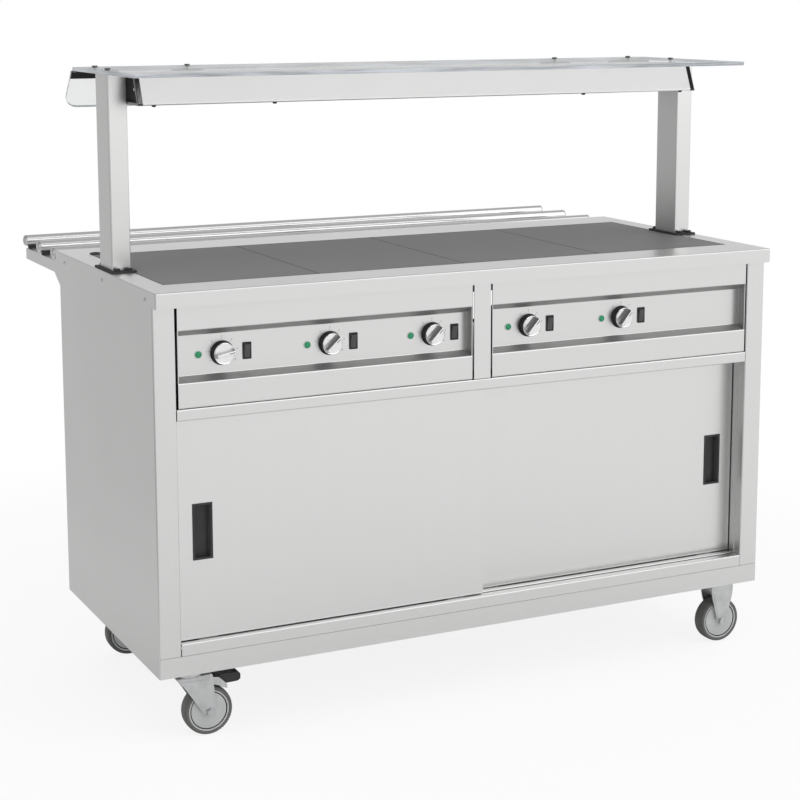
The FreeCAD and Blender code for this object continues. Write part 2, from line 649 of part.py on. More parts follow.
def switch_rocker(x):
    pivot = V(x, FASCIA_SETBACK + ROCKER_PIVOT, CONTROL_Z)
    face = pivot.y - ROCKER_DEPTH
    z = CONTROL_Z
    points = [(face, z + ROCKER_TIP), (face + 1.2, z), (face, z - ROCKER_TIP),
              (pivot.y, z - ROCKER_TIP + 1), (pivot.y + 3, z - 6), (pivot.y + 3, z + 6),
              (pivot.y, z + ROCKER_TIP - 1)]
    body = along_x(points, x - ROCKER_WIDTH / 2, x + ROCKER_WIDTH / 2)
    pin_length = SWITCH_BODY_WIDTH - 2 * MOVING_GAP
    pin = rod(ROCKER_PIN, pivot - V(pin_length / 2, 0, 0), X_AXIS, pin_length)
    rocker = fuse([body, pin])
    rocker.rotate(pivot, X_AXIS, ROCKER_TILT)
    return rocker


def energy_regulators():
    """Behind each knob: a body on the fascia's back and the bush that the spindle turns in."""
    back = FASCIA_SETBACK + SHEET
    half = REGULATOR_SIZE / 2
    units = []
    for x in control_places():
        centre = V(x + KNOB_OFFSET, back, CONTROL_Z)
        rear = back + REGULATOR_DEPTH
        body = box(centre.x - half, centre.x + half, back, rear,
                   CONTROL_Z - half, CONTROL_Z + half)
        body = rounded(body, 3.0, Y_AXIS)
        nose = back - FASCIA_SETBACK + COLLAR_THICKNESS
        tip = centre - V(0, nose, 0)
        bush = rod(BUSH_RADIUS, tip, Y_AXIS, nose)
        bore = rod(SPINDLE_RADIUS + RUNNING_FIT, tip, Y_AXIS, nose + REGULATOR_DEPTH - 5)
        tags = [box(centre.x + dx - 1, centre.x + dx + 1, rear, rear + 8,
                    CONTROL_Z - 4, CONTROL_Z + 4) for dx in (-9, 0, 9)]
        units.append(fuse([body, bush] + tags).cut(bore))
    return Part.makeCompound(units)


def knob(x, angle):
    """A turned metal knob with a bar grip, on its spindle."""
    back = FASCIA_SETBACK - COLLAR_THICKNESS - MOVING_GAP
    centre = V(x + KNOB_OFFSET, back, CONTROL_Z)
    top = KNOB_RADIUS - KNOB_TAPER
    points = [(0, 0), (0, KNOB_RADIUS), (-3, KNOB_RADIUS), (-KNOB_BODY + 2, top),
              (-KNOB_BODY, top - 2), (-KNOB_BODY, 0)]
    body = turned(points, centre, Y_AXIS)
    half = KNOB_GRIP_WIDTH / 2
    grip = box(centre.x - top, centre.x + top,
               centre.y - KNOB_BODY - KNOB_GRIP, centre.y - KNOB_BODY + 1,
               CONTROL_Z - half, CONTROL_Z + half)
    grip = rounded(grip, 2.0, X_AXIS)
    grip = grip.common(rod(top - 0.5, centre - V(0, KNOB_BODY + KNOB_GRIP, 0), Y_AXIS, KNOB_GRIP + 1))
    spindle = rod(SPINDLE_RADIUS, centre, Y_AXIS, SPINDLE_LENGTH)
    whole = fuse([body, grip, spindle])
    whole.rotate(centre, Y_AXIS, -angle)
    return whole


# ---- doors ----
def door(x0, width, setback):
    """A folded tray, and with it its back sheet and the nylon glides that run in the tracks."""
    x1 = x0 + width
    y1 = setback + DOOR_THICKNESS
    z0 = SILL_TOP + DOOR_LIFT
    z1 = HEAD_BOTTOM - DOOR_LIFT
    outer = rounded(box(x0, x1, setback, y1, z0, z1), EDGE_ROUND / 2, Y_AXIS)
    cavity = box(x0 + DOOR_SHEET, x1 - DOOR_SHEET, setback + DOOR_SHEET, y1 + 1,
                 z0 + DOOR_SHEET, z1 - DOOR_SHEET)
    back = box(x0 + DOOR_SHEET, x1 - DOOR_SHEET, y1 - DOOR_SHEET, y1,
               z0 + DOOR_SHEET, z1 - DOOR_SHEET)
    tray = outer.cut(cavity)
    others = [back]
    centre_y = setback + DOOR_THICKNESS / 2
    half = TRACK_WIDTH / 2 - GLIDE_PLAY
    spans = [(SILL_TOP - TRACK_DEPTH + GLIDE_LIFT, z0),
             (z1, HEAD_BOTTOM + TRACK_DEPTH - EDGE_ROUND)]
    for x in (x0 + GLIDE_INSET, x1 - GLIDE_INSET):
        for low, high in spans:
            block = box(x - GLIDE_LENGTH / 2, x + GLIDE_LENGTH / 2,
                        centre_y - half, centre_y + half, low, high)
            others.append(rounded(block, 2.0, Y_AXIS))
    return tray, others


def handle_box(x, setback, grow, depth):
    """A rounded block the size of the cup's mouth, made larger all round by grow."""
    half_w = HANDLE_WIDTH / 2 - HANDLE_FRAME / 2 + grow
    half_h = HANDLE_HEIGHT / 2 - HANDLE_FRAME / 2 + grow
    block = box(x - half_w, x + half_w, setback - 1, setback + depth,
                HANDLE_Z - half_h, HANDLE_Z + half_h)
    return rounded(block, 4.0 + grow, Y_AXIS)


def door_with_handle_hole(x0, width, setback, handle_x):
    tray, others = door(x0, width, setback)
    tray = tray.cut(handle_box(handle_x, setback, HOLE_CLEARANCE, DOOR_SHEET + 1))
    return Part.makeCompound([tray] + others)


def door_handle(x, setback):
    """A flush cup with a thin rim over the edge of its cut-out."""
    half_w = HANDLE_WIDTH / 2
    half_h = HANDLE_HEIGHT / 2
    rim = box(x - half_w, x + half_w, setback - HANDLE_RIM, setback,
              HANDLE_Z - half_h, HANDLE_Z + half_h)
    rim = rounded(rim, 3.0, Y_AXIS)
    cup = handle_box(x, setback, 0, HANDLE_CUP)
    hollow = handle_box(x, setback - 1, -HANDLE_WALL, HANDLE_CUP - HANDLE_WALL + 1)
    return fuse([rim, cup]).cut(hollow)


# ---- counter ----
def counter_top():
    """A tray turned upside down, with a rebate for the tiles and ledges to carry them."""
    y0 = -FRONT_OVERHANG
    y1 = CABINET_DEPTH + REAR_OVERHANG
    outer = box(-HALF, HALF, y0, y1, CABINET_TOP, COUNTER_HEIGHT)
    outer = rounded(outer, EDGE_ROUND, Z_AXIS)
    rim = [edge for edge in outer.Edges if edge.BoundBox.ZMin > COUNTER_HEIGHT - 0.01]
    outer = outer.makeFillet(EDGE_ROUND * 0.8, rim)
    underside = COUNTER_HEIGHT - SHEET
    hollow = box(-HALF + SHEET, HALF - SHEET, y0 + SHEET, y1 - SHEET,
                 CABINET_TOP + SHEET, underside)
    mouth = box(-HALF + COUNTER_RETURN, HALF - COUNTER_RETURN, y0 + COUNTER_RETURN + SHEET,
                y1 - COUNTER_RETURN, CABINET_TOP - 1, underside)
    floor = COUNTER_HEIGHT - TILE_THICKNESS
    ledge = box(TILE_X0 - SHEET, -TILE_X0 + SHEET, TILE_FRONT - SHEET, TILE_REAR + SHEET,
                floor - SHEET, COUNTER_HEIGHT)
    rebate = box(TILE_X0, -TILE_X0, TILE_FRONT, TILE_REAR, floor, COUNTER_HEIGHT + 1)
    windows = []
    for step in range(TILE_COUNT):
        x = TILE_X0 + step * TILE_PITCH
        windows.append(box(x + LEDGE, x + TILE_PITCH - LEDGE, TILE_FRONT + LEDGE, TILE_REAR - LEDGE,
                           floor - SHEET - 1, floor + 1))
    top = fuse([outer.cut(hollow).cut(mouth), ledge]).cut(rebate).cut(Part.makeCompound(windows))
    grommet = rod(GROMMET_RADIUS - GROMMET_LIP + HOLE_CLEARANCE,
                  grommet_seat() - V(0, 0, SHEET + 1), Z_AXIS, SHEET + 2)
    return top.cut(grommet)


def hot_tiles():
    tiles = []
    for step in range(TILE_COUNT):
        x = TILE_X0 + step * TILE_PITCH
        half_seam = TILE_SEAM / 2
        slab = box(x + half_seam, x + TILE_PITCH - half_seam,
                   TILE_FRONT + half_seam, TILE_REAR - half_seam,
                   COUNTER_HEIGHT - TILE_THICKNESS, COUNTER_HEIGHT)
        tiles.append(slab)
    return Part.makeCompound(tiles)


def tile_heaters():
    mats = []
    top = COUNTER_HEIGHT - TILE_THICKNESS
    for step in range(TILE_COUNT):
        x = TILE_X0 + step * TILE_PITCH
        mats.append(box(x + HEATER_MARGIN, x + TILE_PITCH - HEATER_MARGIN,
                        TILE_FRONT + HEATER_MARGIN, TILE_REAR - HEATER_MARGIN,
                        top - HEATER_THICKNESS, top))
    return Part.makeCompound(mats)


def heater_tray():
    """The pan under the tiles, hung by its rim from the ledge."""
    top = COUNTER_HEIGHT - TILE_THICKNESS - SHEET
    x1 = -TILE_X0 - TRAY_LEAD
    outer = box(-x1, x1, TILE_FRONT + TRAY_LEAD, TILE_REAR - TRAY_LEAD, top - TRAY_DEPTH, top)
    inner = box(-x1 + TRAY_SHEET, x1 - TRAY_SHEET, TILE_FRONT + TRAY_LEAD + TRAY_SHEET,
                TILE_REAR - TRAY_LEAD - TRAY_SHEET, top - TRAY_DEPTH + TRAY_SHEET, top + 1)
    return outer.cut(inner)


# ---- gantry ----
def gantry_post():
    """The right post: a closed-topped square tube standing on its plate."""
    x0 = POST_X - POST_WIDTH / 2
    y0 = POST_Y - POST_DEPTH / 2
    z0 = COUNTER_HEIGHT + POST_PLATE
    outer = box(x0, x0 + POST_WIDTH, y0, y0 + POST_DEPTH, z0, GANTRY_HEIGHT)
    outer = rounded(outer, EDGE_ROUND, Z_AXIS)
    inner = box(x0 + POST_WALL, x0 + POST_WIDTH - POST_WALL,
                y0 + POST_WALL, y0 + POST_DEPTH - POST_WALL, z0 - 1, GANTRY_HEIGHT - POST_WALL)
    return outer.cut(inner)


def mounting_packers():
    """The black plates under the posts and the saddles under the tray-slide tubes."""
    parts = []
    for sign in (-1, 1):
        x = sign * POST_X
        plate = box(x - POST_PLATE_WIDTH / 2, x + POST_PLATE_WIDTH / 2,
                    POST_Y - POST_PLATE_DEPTH / 2, POST_Y + POST_PLATE_DEPTH / 2,
                    COUNTER_HEIGHT, COUNTER_HEIGHT + POST_PLATE)
        parts.append(rounded(plate, 4.0, Z_AXIS))
    for x in BRACKET_X:
        for y in tube_places():
            block = box(x - SADDLE_WIDTH / 2, x + SADDLE_WIDTH / 2,
                        y - SADDLE_LENGTH / 2, y + SADDLE_LENGTH / 2,
                        BRACKET_TOP, TUBE_Z - TUBE_RADIUS + SADDLE_GRIP)
            seat = rod(TUBE_RADIUS + MOVING_GAP / 3, V(x - SADDLE_WIDTH, y, TUBE_Z),
                       X_AXIS, 2 * SADDLE_WIDTH)
            parts.append(block.cut(seat))
    return Part.makeCompound(parts)


def beam_outline(inset=0.0):
    """The gantry beam's section as (y, z) points from the front lip to the rear lip."""
    bottom = GANTRY_HEIGHT - BEAM_HEIGHT
    half_top = BEAM_TOP_WIDTH / 2 - inset
    half_bottom = BEAM_BOTTOM_WIDTH / 2 - inset
    top = GANTRY_HEIGHT - inset
    return [(POST_Y - half_bottom, bottom + inset), (POST_Y - half_top, top),
            (POST_Y + half_top, top), (POST_Y + half_bottom, bottom + inset)]


def gantry_beam():
    """One folded sheet: two slanted sides, a flat top and a lip along each lower edge."""
    outline = beam_outline()
    front = (outline[0][0] + BEAM_LIP, outline[0][1])
    rear = (outline[-1][0] - BEAM_LIP, outline[-1][1])
    half = BEAM_HALF - CAP_THICKNESS
    return folded_x([front] + outline + [rear], -half, half, side=-1)


def beam_end_caps():
    caps = []
    for sign in (-1, 1):
        ends = sorted((sign * BEAM_HALF, sign * (BEAM_HALF - CAP_THICKNESS)))
        caps.append(along_x(beam_outline(), *ends))
    return Part.makeCompound(caps)


def heat_lamps():
    """Quartz tubes under the beam, each between two holders."""
    ceiling = GANTRY_HEIGHT - SHEET
    z = ceiling - LAMP_DROP
    parts = []
    for step in range(LAMP_COUNT):
        x = -BEAM_HALF + CAP_THICKNESS + LAMP_PITCH * (step + 0.5)
        tube = rod(LAMP_RADIUS, V(x - LAMP_LENGTH / 2, POST_Y, z), X_AXIS, LAMP_LENGTH)
        parts.append(tube)
        for sign in (-1, 1):
            inner = x + sign * LAMP_LENGTH / 2
            low, high = sorted((inner, inner + sign * HOLDER_SIZE))
            holder = box(low, high, POST_Y - HOLDER_SIZE / 2, POST_Y + HOLDER_SIZE / 2,
                         z - HOLDER_SIZE / 2, ceiling)
            parts.append(holder)
    return Part.makeCompound(parts)


def glass_shelf():
    """A flat pane on the beam, drilled for the studs that hold it."""
    half = HALF - SHELF_INSET
    shelf = box(-half, half, POST_Y - SHELF_FRONT, SHELF_REAR_Y, GANTRY_HEIGHT, SHELF_TOP)
    shelf = rounded(shelf, 6.0, Z_AXIS)
    holes = [rod(STUD_RADIUS / 2 + HOLE_CLEARANCE, spot - V(0, 0, 1), Z_AXIS, SHELF_GLASS + 2)
             for spot in stud_places()]
    return shelf.cut(Part.makeCompound(holes))


def stud_places():
    """Holes through the glass shelf: over each post, and at each screen clamp."""
    spots = [V(sign * POST_X, POST_Y + POST_DEPTH / 4, GANTRY_HEIGHT) for sign in (-1, 1)]
    for centre, _ in clamp_places():
        spots.append(V(centre, SHELF_REAR_Y - 12, GANTRY_HEIGHT))
    return spots


def clamp_places():
    """Middle and length of each clamp that hangs the screen from the shelf."""
    end = HALF - SHELF_INSET - CLAMP_LENGTHS[0] / 2
    inner = HALF - CLAMP_INNER_INSET
    outer_length, inner_length = CLAMP_LENGTHS
    return [(-end, outer_length), (-inner, inner_length), (inner, inner_length), (end, outer_length)]


def screen_line():
    """Top and bottom of the screen's inner face as (y, z)."""
    top = (SHELF_REAR_Y + 2.0, GANTRY_HEIGHT - CLAMP_SHEET)
    bottom = (SHELF_REAR_Y + 2.0 + SCREEN_REACH, GANTRY_HEIGHT - SCREEN_DROP)
    return top, bottom


def sneeze_screen():
    """The leaning glass on the customer's side, with rounded lower corners."""
    (y0, z0), (y1, z1) = screen_line()
    length = math.hypot(y1 - y0, z1 - z0)
    half = HALF - SHELF_INSET
    pane = box(-half, half, 0, SCREEN_GLASS, -length, 0)
    corners = [edge for edge in pane.Edges
               if abs(edge.BoundBox.YLength - SCREEN_GLASS) < 0.01 and edge.BoundBox.ZMax < -1]
    pane = pane.makeFillet(SCREEN_CORNER, corners)
    pane.rotate(V(0, 0, 0), X_AXIS, math.degrees(math.atan2(y1 - y0, z0 - z1)))
    pane.translate(V(0, y0, z0))
    return pane


def glass_clamps():
    """Bent strips from the shelf's underside down the screen's inner face, and the studs' caps."""
    (y0, z0), (y1, z1) = screen_line()
    lean = (y1 - y0) / (z0 - z1)
    fold_y = y0 - lean * (GANTRY_HEIGHT - z0)
    path = [(fold_y - CLAMP_SEAT, GANTRY_HEIGHT), (fold_y, GANTRY_HEIGHT),
            (fold_y + lean * CLAMP_GRIP, GANTRY_HEIGHT - CLAMP_GRIP)]
    parts = [folded_x(path, centre - length / 2, centre + length / 2, side=-1, thickness=CLAMP_SHEET)
             for centre, length in clamp_places()]
    for spot in stud_places():
        stud = rod(STUD_RADIUS / 2, spot, Z_AXIS, SHELF_GLASS)
        cap = rod(STUD_RADIUS, spot + V(0, 0, SHELF_GLASS), Z_AXIS, STUD_CAP)
        rim = [edge for edge in cap.Edges if edge.BoundBox.ZMin > SHELF_TOP + STUD_CAP - 0.01]
        parts.append(fuse([stud, cap.makeChamfer(1.0, rim)]))
    return Part.makeCompound(parts)


# ---- tray slide ----
def tube_places():
    return [CABINET_DEPTH + TUBE_FIRST + TUBE_PITCH * step for step in range(TUBE_COUNT)]


def tray_rails():
    """Three tubes, each closed by a domed plug at both ends."""
    parts = []
    plug = TUBE_RADIUS * 0.5
    half = HALF - TUBE_INSET - plug
    bore = TUBE_RADIUS - TUBE_WALL
    for y in tube_places():
        tube = rod(TUBE_RADIUS, V(-half, y, TUBE_Z), X_AXIS, 2 * half)
        parts.append(tube.cut(rod(bore, V(-half - 1, y, TUBE_Z), X_AXIS, 2 * half + 2)))
        spigot = bore - HOLE_CLEARANCE
        points = [(-12, 0), (-12, spigot), (0, spigot), (0, TUBE_RADIUS),
                  (plug * 0.45, TUBE_RADIUS * 0.93), (plug * 0.8, TUBE_RADIUS * 0.7),
                  (plug, TUBE_RADIUS * 0.3), (plug, 0)]
        cap = turned(points, V(half, y, TUBE_Z), X_AXIS)
        parts += [cap, mirrored(cap)]
    return Part.makeCompound(parts)


def tray_brackets():
    """Folded arms bolted to the back: a deep web, a flange under the tubes and a back plate."""
    parts = []
    back = CABINET_DEPTH
    tip = tube_places()[-1] + SADDLE_LENGTH / 2 - 2
    under = BRACKET_TOP - BRACKET_TIP
    foot = BRACKET_TOP - BRACKET_FOOT
    for x in BRACKET_X:
        x0 = x - BRACKET_FLANGE / 2
        points = [(back, BRACKET_TOP), (tip, BRACKET_TOP), (tip, under),
                  (back + BRACKET_KNEE, under), (back, foot)]
        web = along_x(points, x0, x0 + BRACKET_SHEET)
        x1 = x0 + BRACKET_FLANGE
        flange = box(x0, x1, back, tip, BRACKET_TOP - BRACKET_SHEET, BRACKET_TOP)
        plate = box(x0, x1, back, back + BRACKET_SHEET, foot, BRACKET_TOP)
        parts.append(fuse([web, flange, plate]))
    return Part.makeCompound(parts)


# ---- castors ----
def leg_outline(trail, top):
    """One fork leg as (x, z) points from the swivel axis, leaning back by the trail."""
    if trail:
        return [(-CROWN_LEAD, top), (CROWN_TAIL, top), (trail + 13, AXLE_Z + 3), (trail + 10, AXLE_Z - 8),
                (trail - 10, AXLE_Z - 8), (-8, 98), (-24, 116)]
    return [(-28, top), (28, top), (26, 108), (13, AXLE_Z), (10, AXLE_Z - 8),
            (-10, AXLE_Z - 8), (-13, AXLE_Z), (-26, 108)]


def fork_legs(centre, trail, top):
    """Two legs with a rounded foot round the axle."""
    legs = []
    axle = centre + V(trail, 0, AXLE_Z)
    for sign in (-1, 1):
        inner = centre.y + sign * LEG_INNER
        outer = inner + sign * FORK_SHEET
        low = min(inner, outer)
        points = [(centre.x + x, z) for x, z in leg_outline(trail, top)]
        leg = along_y(points, low, low + FORK_SHEET)
        foot = rod(13.0, V(axle.x, low, AXLE_Z), Y_AXIS, FORK_SHEET)
        legs.append(fuse([leg, foot]))
    return legs


def axle_bolt(axle):
    """Bolt head, shaft and nut through both legs."""
    outer = LEG_INNER + FORK_SHEET
    shaft = rod(AXLE_RADIUS, axle - V(0, outer, 0), Y_AXIS, 2 * outer)
    head = hexagon(8.5, axle - V(0, outer + 5, 0), Y_AXIS, 5)
    nut = hexagon(8.5, axle + V(0, outer, 0), Y_AXIS, 5)
    return fuse([shaft, head, nut])


def axle_hole(axle):
    outer = LEG_INNER + FORK_SHEET + 1
    return rod(AXLE_RADIUS + HOLE_CLEARANCE, axle - V(0, outer, 0), Y_AXIS, 2 * outer)


def castor_plates():
    """What stays still on a swivelling castor: its plate, upper race and kingpin."""
    parts = []
    for name, centre in castor_places().items():
        if name.endswith("left"):
            plate = bolted_plate(centre)
            under = CASTOR_HEIGHT - PLATE
            race = rod(RACE_RADIUS, centre + V(0, 0, under - RACE_HEIGHT), Z_AXIS, RACE_HEIGHT)
            pin_length = RACE_HEIGHT + MOVING_GAP + DISH_HEIGHT + FORK_SHEET + 2 * MOVING_GAP
            pin = rod(KINGPIN_RADIUS, centre + V(0, 0, under - pin_length), Z_AXIS, pin_length)
            nut = hexagon(8.0, centre + V(0, 0, under - pin_length - 4), Z_AXIS, 4)
            parts.append(fuse([plate, race, pin, nut]))
    return Part.makeCompound(parts)


def bolted_plate(centre):
    underside = CASTOR_HEIGHT - PLATE
    plate = box(centre.x - PLATE_LENGTH / 2, centre.x + PLATE_LENGTH / 2,
                centre.y - PLATE_WIDTH / 2, centre.y + PLATE_WIDTH / 2, underside, CASTOR_HEIGHT)
    plate = rounded(plate, 6.0, Z_AXIS)
    holes = [rod(BOLT_RADIUS + HOLE_CLEARANCE, spot + V(0, 0, underside - 1), Z_AXIS, PLATE + 2)
             for spot in plate_bolts(centre)]
    return plate.cut(Part.makeCompound(holes))


def swivel_fork(centre):
    """Dished crown and two trailing legs, turning on the kingpin, with the axle bolt."""
    dish = rod(DISH_RADIUS, centre + V(0, 0, FORK_TOP), Z_AXIS, DISH_HEIGHT)
    rims = [edge for edge in dish.Edges if abs(edge.BoundBox.ZMin - FORK_TOP - DISH_HEIGHT) < 0.01]
    dish = dish.makeChamfer(3.0, rims)
    outer = LEG_INNER + FORK_SHEET
    crown = box(centre.x - CROWN_LEAD, centre.x + CROWN_TAIL,
                centre.y - outer, centre.y + outer, FORK_TOP - FORK_SHEET, FORK_TOP)
    crown = rounded(crown, EDGE_ROUND, Z_AXIS)
    axle = centre + V(TRAIL, 0, AXLE_Z)
    body = fuse([dish, crown] + fork_legs(centre, TRAIL, FORK_TOP))
    kingpin = rod(KINGPIN_RADIUS + RUNNING_FIT, centre + V(0, 0, FORK_TOP - FORK_SHEET - 1), Z_AXIS,
                  DISH_HEIGHT + FORK_SHEET + 2)
    pivot = centre + V(PEDAL_PIVOT_X, -outer - 1, PEDAL_PIVOT_Z)
    pedal_hole = rod(PEDAL_PIN + RUNNING_FIT, pivot, Y_AXIS, 2 * outer + 2)
    body = body.cut(kingpin).cut(axle_hole(axle)).cut(pedal_hole)
    return Part.makeCompound([body, axle_bolt(axle)])


def fixed_fork(centre):
    axle = centre + V(0, 0, AXLE_Z)
    body = fuse([bolted_plate(centre)] + fork_legs(centre, 0, CASTOR_HEIGHT - PLATE))
    return Part.makeCompound([body.cut(axle_hole(axle)), axle_bolt(axle)])


def wheel_centre(name, centre):
    return centre + V(TRAIL if name.endswith("left") else 0, 0, AXLE_Z)


def castor_wheel(axle):
    """A moulded hub with a groove round its face, turning on the axle bolt."""
    bore = AXLE_RADIUS + RUNNING_FIT
    rim = WHEEL_RADIUS - TYRE_HEIGHT
    edge = HUB_WIDTH / 2
    half = [(edge, bore), (edge, 11), (edge - 4, 13), (edge - 5, rim - 8), (edge - 7, rim - 6.5),
            (edge - 7, rim - 5), (edge - 4, rim - 4), (edge - 4, rim)]
    points = half + [(-along, radius) for along, radius in reversed(half)]
    return turned(points, axle, Y_AXIS)


def castor_tyre(axle):
    """A tyre with flat sides and a rounded tread."""
    inner = WHEEL_RADIUS - TYRE_HEIGHT + RUNNING_FIT
    half_width = TYRE_WIDTH / 2
    shoulder = WHEEL_RADIUS - 3
    section = ((half_width - 1, inner), (-half_width + 1, inner),
               (-half_width, shoulder), (half_width, shoulder))
    corners = [axle + V(0, along, radius) for along, radius in section]
    edges = [Part.LineSegment(corners[index], corners[index + 1]).toShape() for index in (0, 1)]
    crown = Part.Arc(corners[2], axle + V(0, 0, WHEEL_RADIUS), corners[3]).toShape()
    edges += [crown, Part.LineSegment(corners[3], corners[0]).toShape()]
    return Part.Face(Part.Wire(edges)).revolve(axle, Y_AXIS, 360)


def brake_pedal(centre):
    """A foot lever between the fork's legs, with a shoe over the tyre, on its own pin."""
    x0 = PEDAL_PIVOT_X
    z0 = PEDAL_PIVOT_Z
    heel = z0 - PEDAL_HEEL
    points = [(x0 - 6, z0 - 5), (x0 - 6, z0 + 6), (x0 + 12, z0 + 7.5), (x0 + PEDAL_ARM, z0 + 9),
              (PEDAL_REACH - 8, z0 + 6), (PEDAL_REACH, z0 - 3), (PEDAL_REACH - 2, z0 - 8),
              (PEDAL_REACH - PEDAL_SHOE, heel - 1), (x0 + PEDAL_SHOE, heel),
              (x0 + 16, heel + 2), (x0 + 8, z0 - 5)]
    half = PEDAL_WIDTH / 2
    lever = along_y([(centre.x + x, z) for x, z in points], centre.y - half, centre.y + half)
    outer = LEG_INNER + FORK_SHEET
    pin = rod(PEDAL_PIN, centre + V(x0, -outer, z0), Y_AXIS, 2 * outer)
    return fuse([lever, pin])


# ---- small fittings ----
def grommet_seat():
    return V(-HALF + GROMMET_INSET, TILE_REAR + GROMMET_BEHIND, COUNTER_HEIGHT)


def gland_seat():
    return V(-HALF + GLAND_INSET, CABINET_DEPTH - SHEET, BASE_TOP + GLAND_RISE)


def cable_glands():
    """The grommet where the gantry's wiring goes down, and the bare inlet gland at the back."""
    seat = grommet_seat()
    neck = GROMMET_RADIUS - GROMMET_LIP
    points = [(3, 0), (3, GROMMET_RADIUS - 2), (0, GROMMET_RADIUS), (0, neck), (-8, neck), (-8, 0)]
    grommet = turned(points, seat, Z_AXIS)
    inlet = gland_seat()
    collar = hexagon(GLAND_RADIUS, inlet, Y_AXIS, 6)
    dome = turned([(6, 0), (6, GLAND_RADIUS * 0.8), (GLAND_LENGTH - 4, GLAND_RADIUS * 0.75),
                   (GLAND_LENGTH, GLAND_RADIUS * 0.5), (GLAND_LENGTH, 0)], inlet, Y_AXIS)
    tail = rod(GLAND_THREAD, inlet - V(0, SHEET + 8, 0), Y_AXIS, SHEET + 8)
    bore = rod(GLAND_RADIUS * 0.35, inlet - V(0, SHEET + 9, 0), Y_AXIS, GLAND_LENGTH + 20)
    return Part.makeCompound([grommet, fuse([collar, dome, tail]).cut(bore)])


def fasteners():
    """Castor bolts, post bolts, bracket bolts and the counter's edge screws."""
    parts = []
    pad_top = CASTOR_HEIGHT + 2 * SHEET
    for centre in castor_places().values():
        for spot in plate_bolts(centre):
            under = spot + V(0, 0, CASTOR_HEIGHT - PLATE)
            head = hexagon(BOLT_HEAD_RADIUS, under - V(0, 0, BOLT_HEAD), Z_AXIS, BOLT_HEAD)
            shank = rod(BOLT_RADIUS, under, Z_AXIS, PLATE + 2 * SHEET)
            nut = hexagon(BOLT_HEAD_RADIUS, spot + V(0, 0, pad_top), Z_AXIS, BOLT_HEAD)
            parts.append(fuse([head, shank, nut]))
    plate_top = COUNTER_HEIGHT + POST_PLATE
    for sign in (-1, 1):
        for side in (-1, 1):
            x = sign * POST_X + side * (POST_WIDTH / 2 - 8)
            for end in (-1, 1):
                spot = V(x, POST_Y + end * (POST_DEPTH / 2 + 9), plate_top)
                parts.append(hexagon(BOLT_HEAD_RADIUS, spot, Z_AXIS, BOLT_HEAD))
    bracket_back = CABINET_DEPTH + BRACKET_SHEET
    for x in BRACKET_X:
        for drop in (18, BRACKET_FOOT - 18):
            spot = V(x + 4, bracket_back, BRACKET_TOP - drop)
            parts.append(hexagon(BOLT_HEAD_RADIUS, spot, Y_AXIS, BOLT_HEAD))
    for y in (SCREW_INSET, CABINET_DEPTH / 2, CABINET_DEPTH - SCREW_INSET):
        head = rod(SCREW_HEAD_RADIUS, V(HALF, y, COUNTER_HEIGHT - SCREW_DROP), X_AXIS, SCREW_HEAD)
        rim = [edge for edge in head.Edges if edge.BoundBox.XMin > HALF + SCREW_HEAD - 0.01]
        head = head.makeChamfer(0.8, rim)
        parts += [head, mirrored(head)]
    return Part.makeCompound(parts)


# ---- the whole assembly ----
def nodes():
    """Every sub-part by the name of its file."""
    left_panel = side_panel()
    post = gantry_post()
    front_x = -HALF + STILE_WIDTH + DOOR_SIDE_GAP
    rear_x = HALF - STILE_WIDTH - DOOR_SIDE_GAP - REAR_DOOR_WIDTH
    front_handle = front_x + HANDLE_INSET
    rear_handle = rear_x + REAR_DOOR_WIDTH - HANDLE_INSET
    parts = {
        "base_frame": base_frame(),
        "side_panel_left": left_panel,
        "side_panel_right": mirrored(left_panel),
        "back_panel": back_panel(),
        "cupboard_liner": cupboard_liner(),
        "cupboard_shelf": cupboard_shelf(),
        "cupboard_element": cupboard_element(),
        "centre_stile": centre_stile(),
        "door_sill": door_sill(),
        "door_head_rail": door_head_rail(),
        "fascia_left": fascia(LEFT_FASCIA_X),
        "fascia_right": fascia(RIGHT_FASCIA_X),
        "pilot_lights": pilot_lights(),
        "control_bezels": control_bezels(),
        "energy_regulators": energy_regulators(),
        "counter_top": counter_top(),
        "hot_tiles": hot_tiles(),
        "tile_heaters": tile_heaters(),
        "heater_tray": heater_tray(),
        "gantry_posts": Part.makeCompound([mirrored(post), post]),
        "mounting_packers": mounting_packers(),
        "gantry_beam": gantry_beam(),
        "beam_end_caps": beam_end_caps(),
        "heat_lamps": heat_lamps(),
        "glass_shelf": glass_shelf(),
        "sneeze_screen": sneeze_screen(),
        "glass_clamps": glass_clamps(),
        "tray_rails": tray_rails(),
        "tray_brackets": tray_brackets(),
        "castor_plates": castor_plates(),
        "cable_glands": cable_glands(),
        "fasteners": fasteners(),
        "door_left": door_with_handle_hole(front_x, FRONT_DOOR_WIDTH, FRONT_DOOR_SETBACK, front_handle),
        "door_right": door_with_handle_hole(rear_x, REAR_DOOR_WIDTH, REAR_DOOR_SETBACK, rear_handle),
        "door_handle_left": door_handle(front_handle, FRONT_DOOR_SETBACK),
        "door_handle_right": door_handle(rear_handle, REAR_DOOR_SETBACK),
    }
    for number, (x, angle) in enumerate(zip(control_places(), KNOB_ANGLES), start=1):
        parts["knob_%d" % number] = knob(x, angle)
        parts["switch_rocker_%d" % number] = switch_rocker(x + SWITCH_OFFSET)
    for name, centre in castor_places().items():
        swivels = name.endswith("left")
        parts["castor_fork_" + name] = swivel_fork(centre) if swivels else fixed_fork(centre)
        parts["castor_wheel_" + name] = castor_wheel(wheel_centre(name, centre))
        parts["castor_tyre_" + name] = castor_tyre(wheel_centre(name, centre))
        if swivels:
            parts["brake_pedal_" + name] = brake_pedal(centre)
    return parts


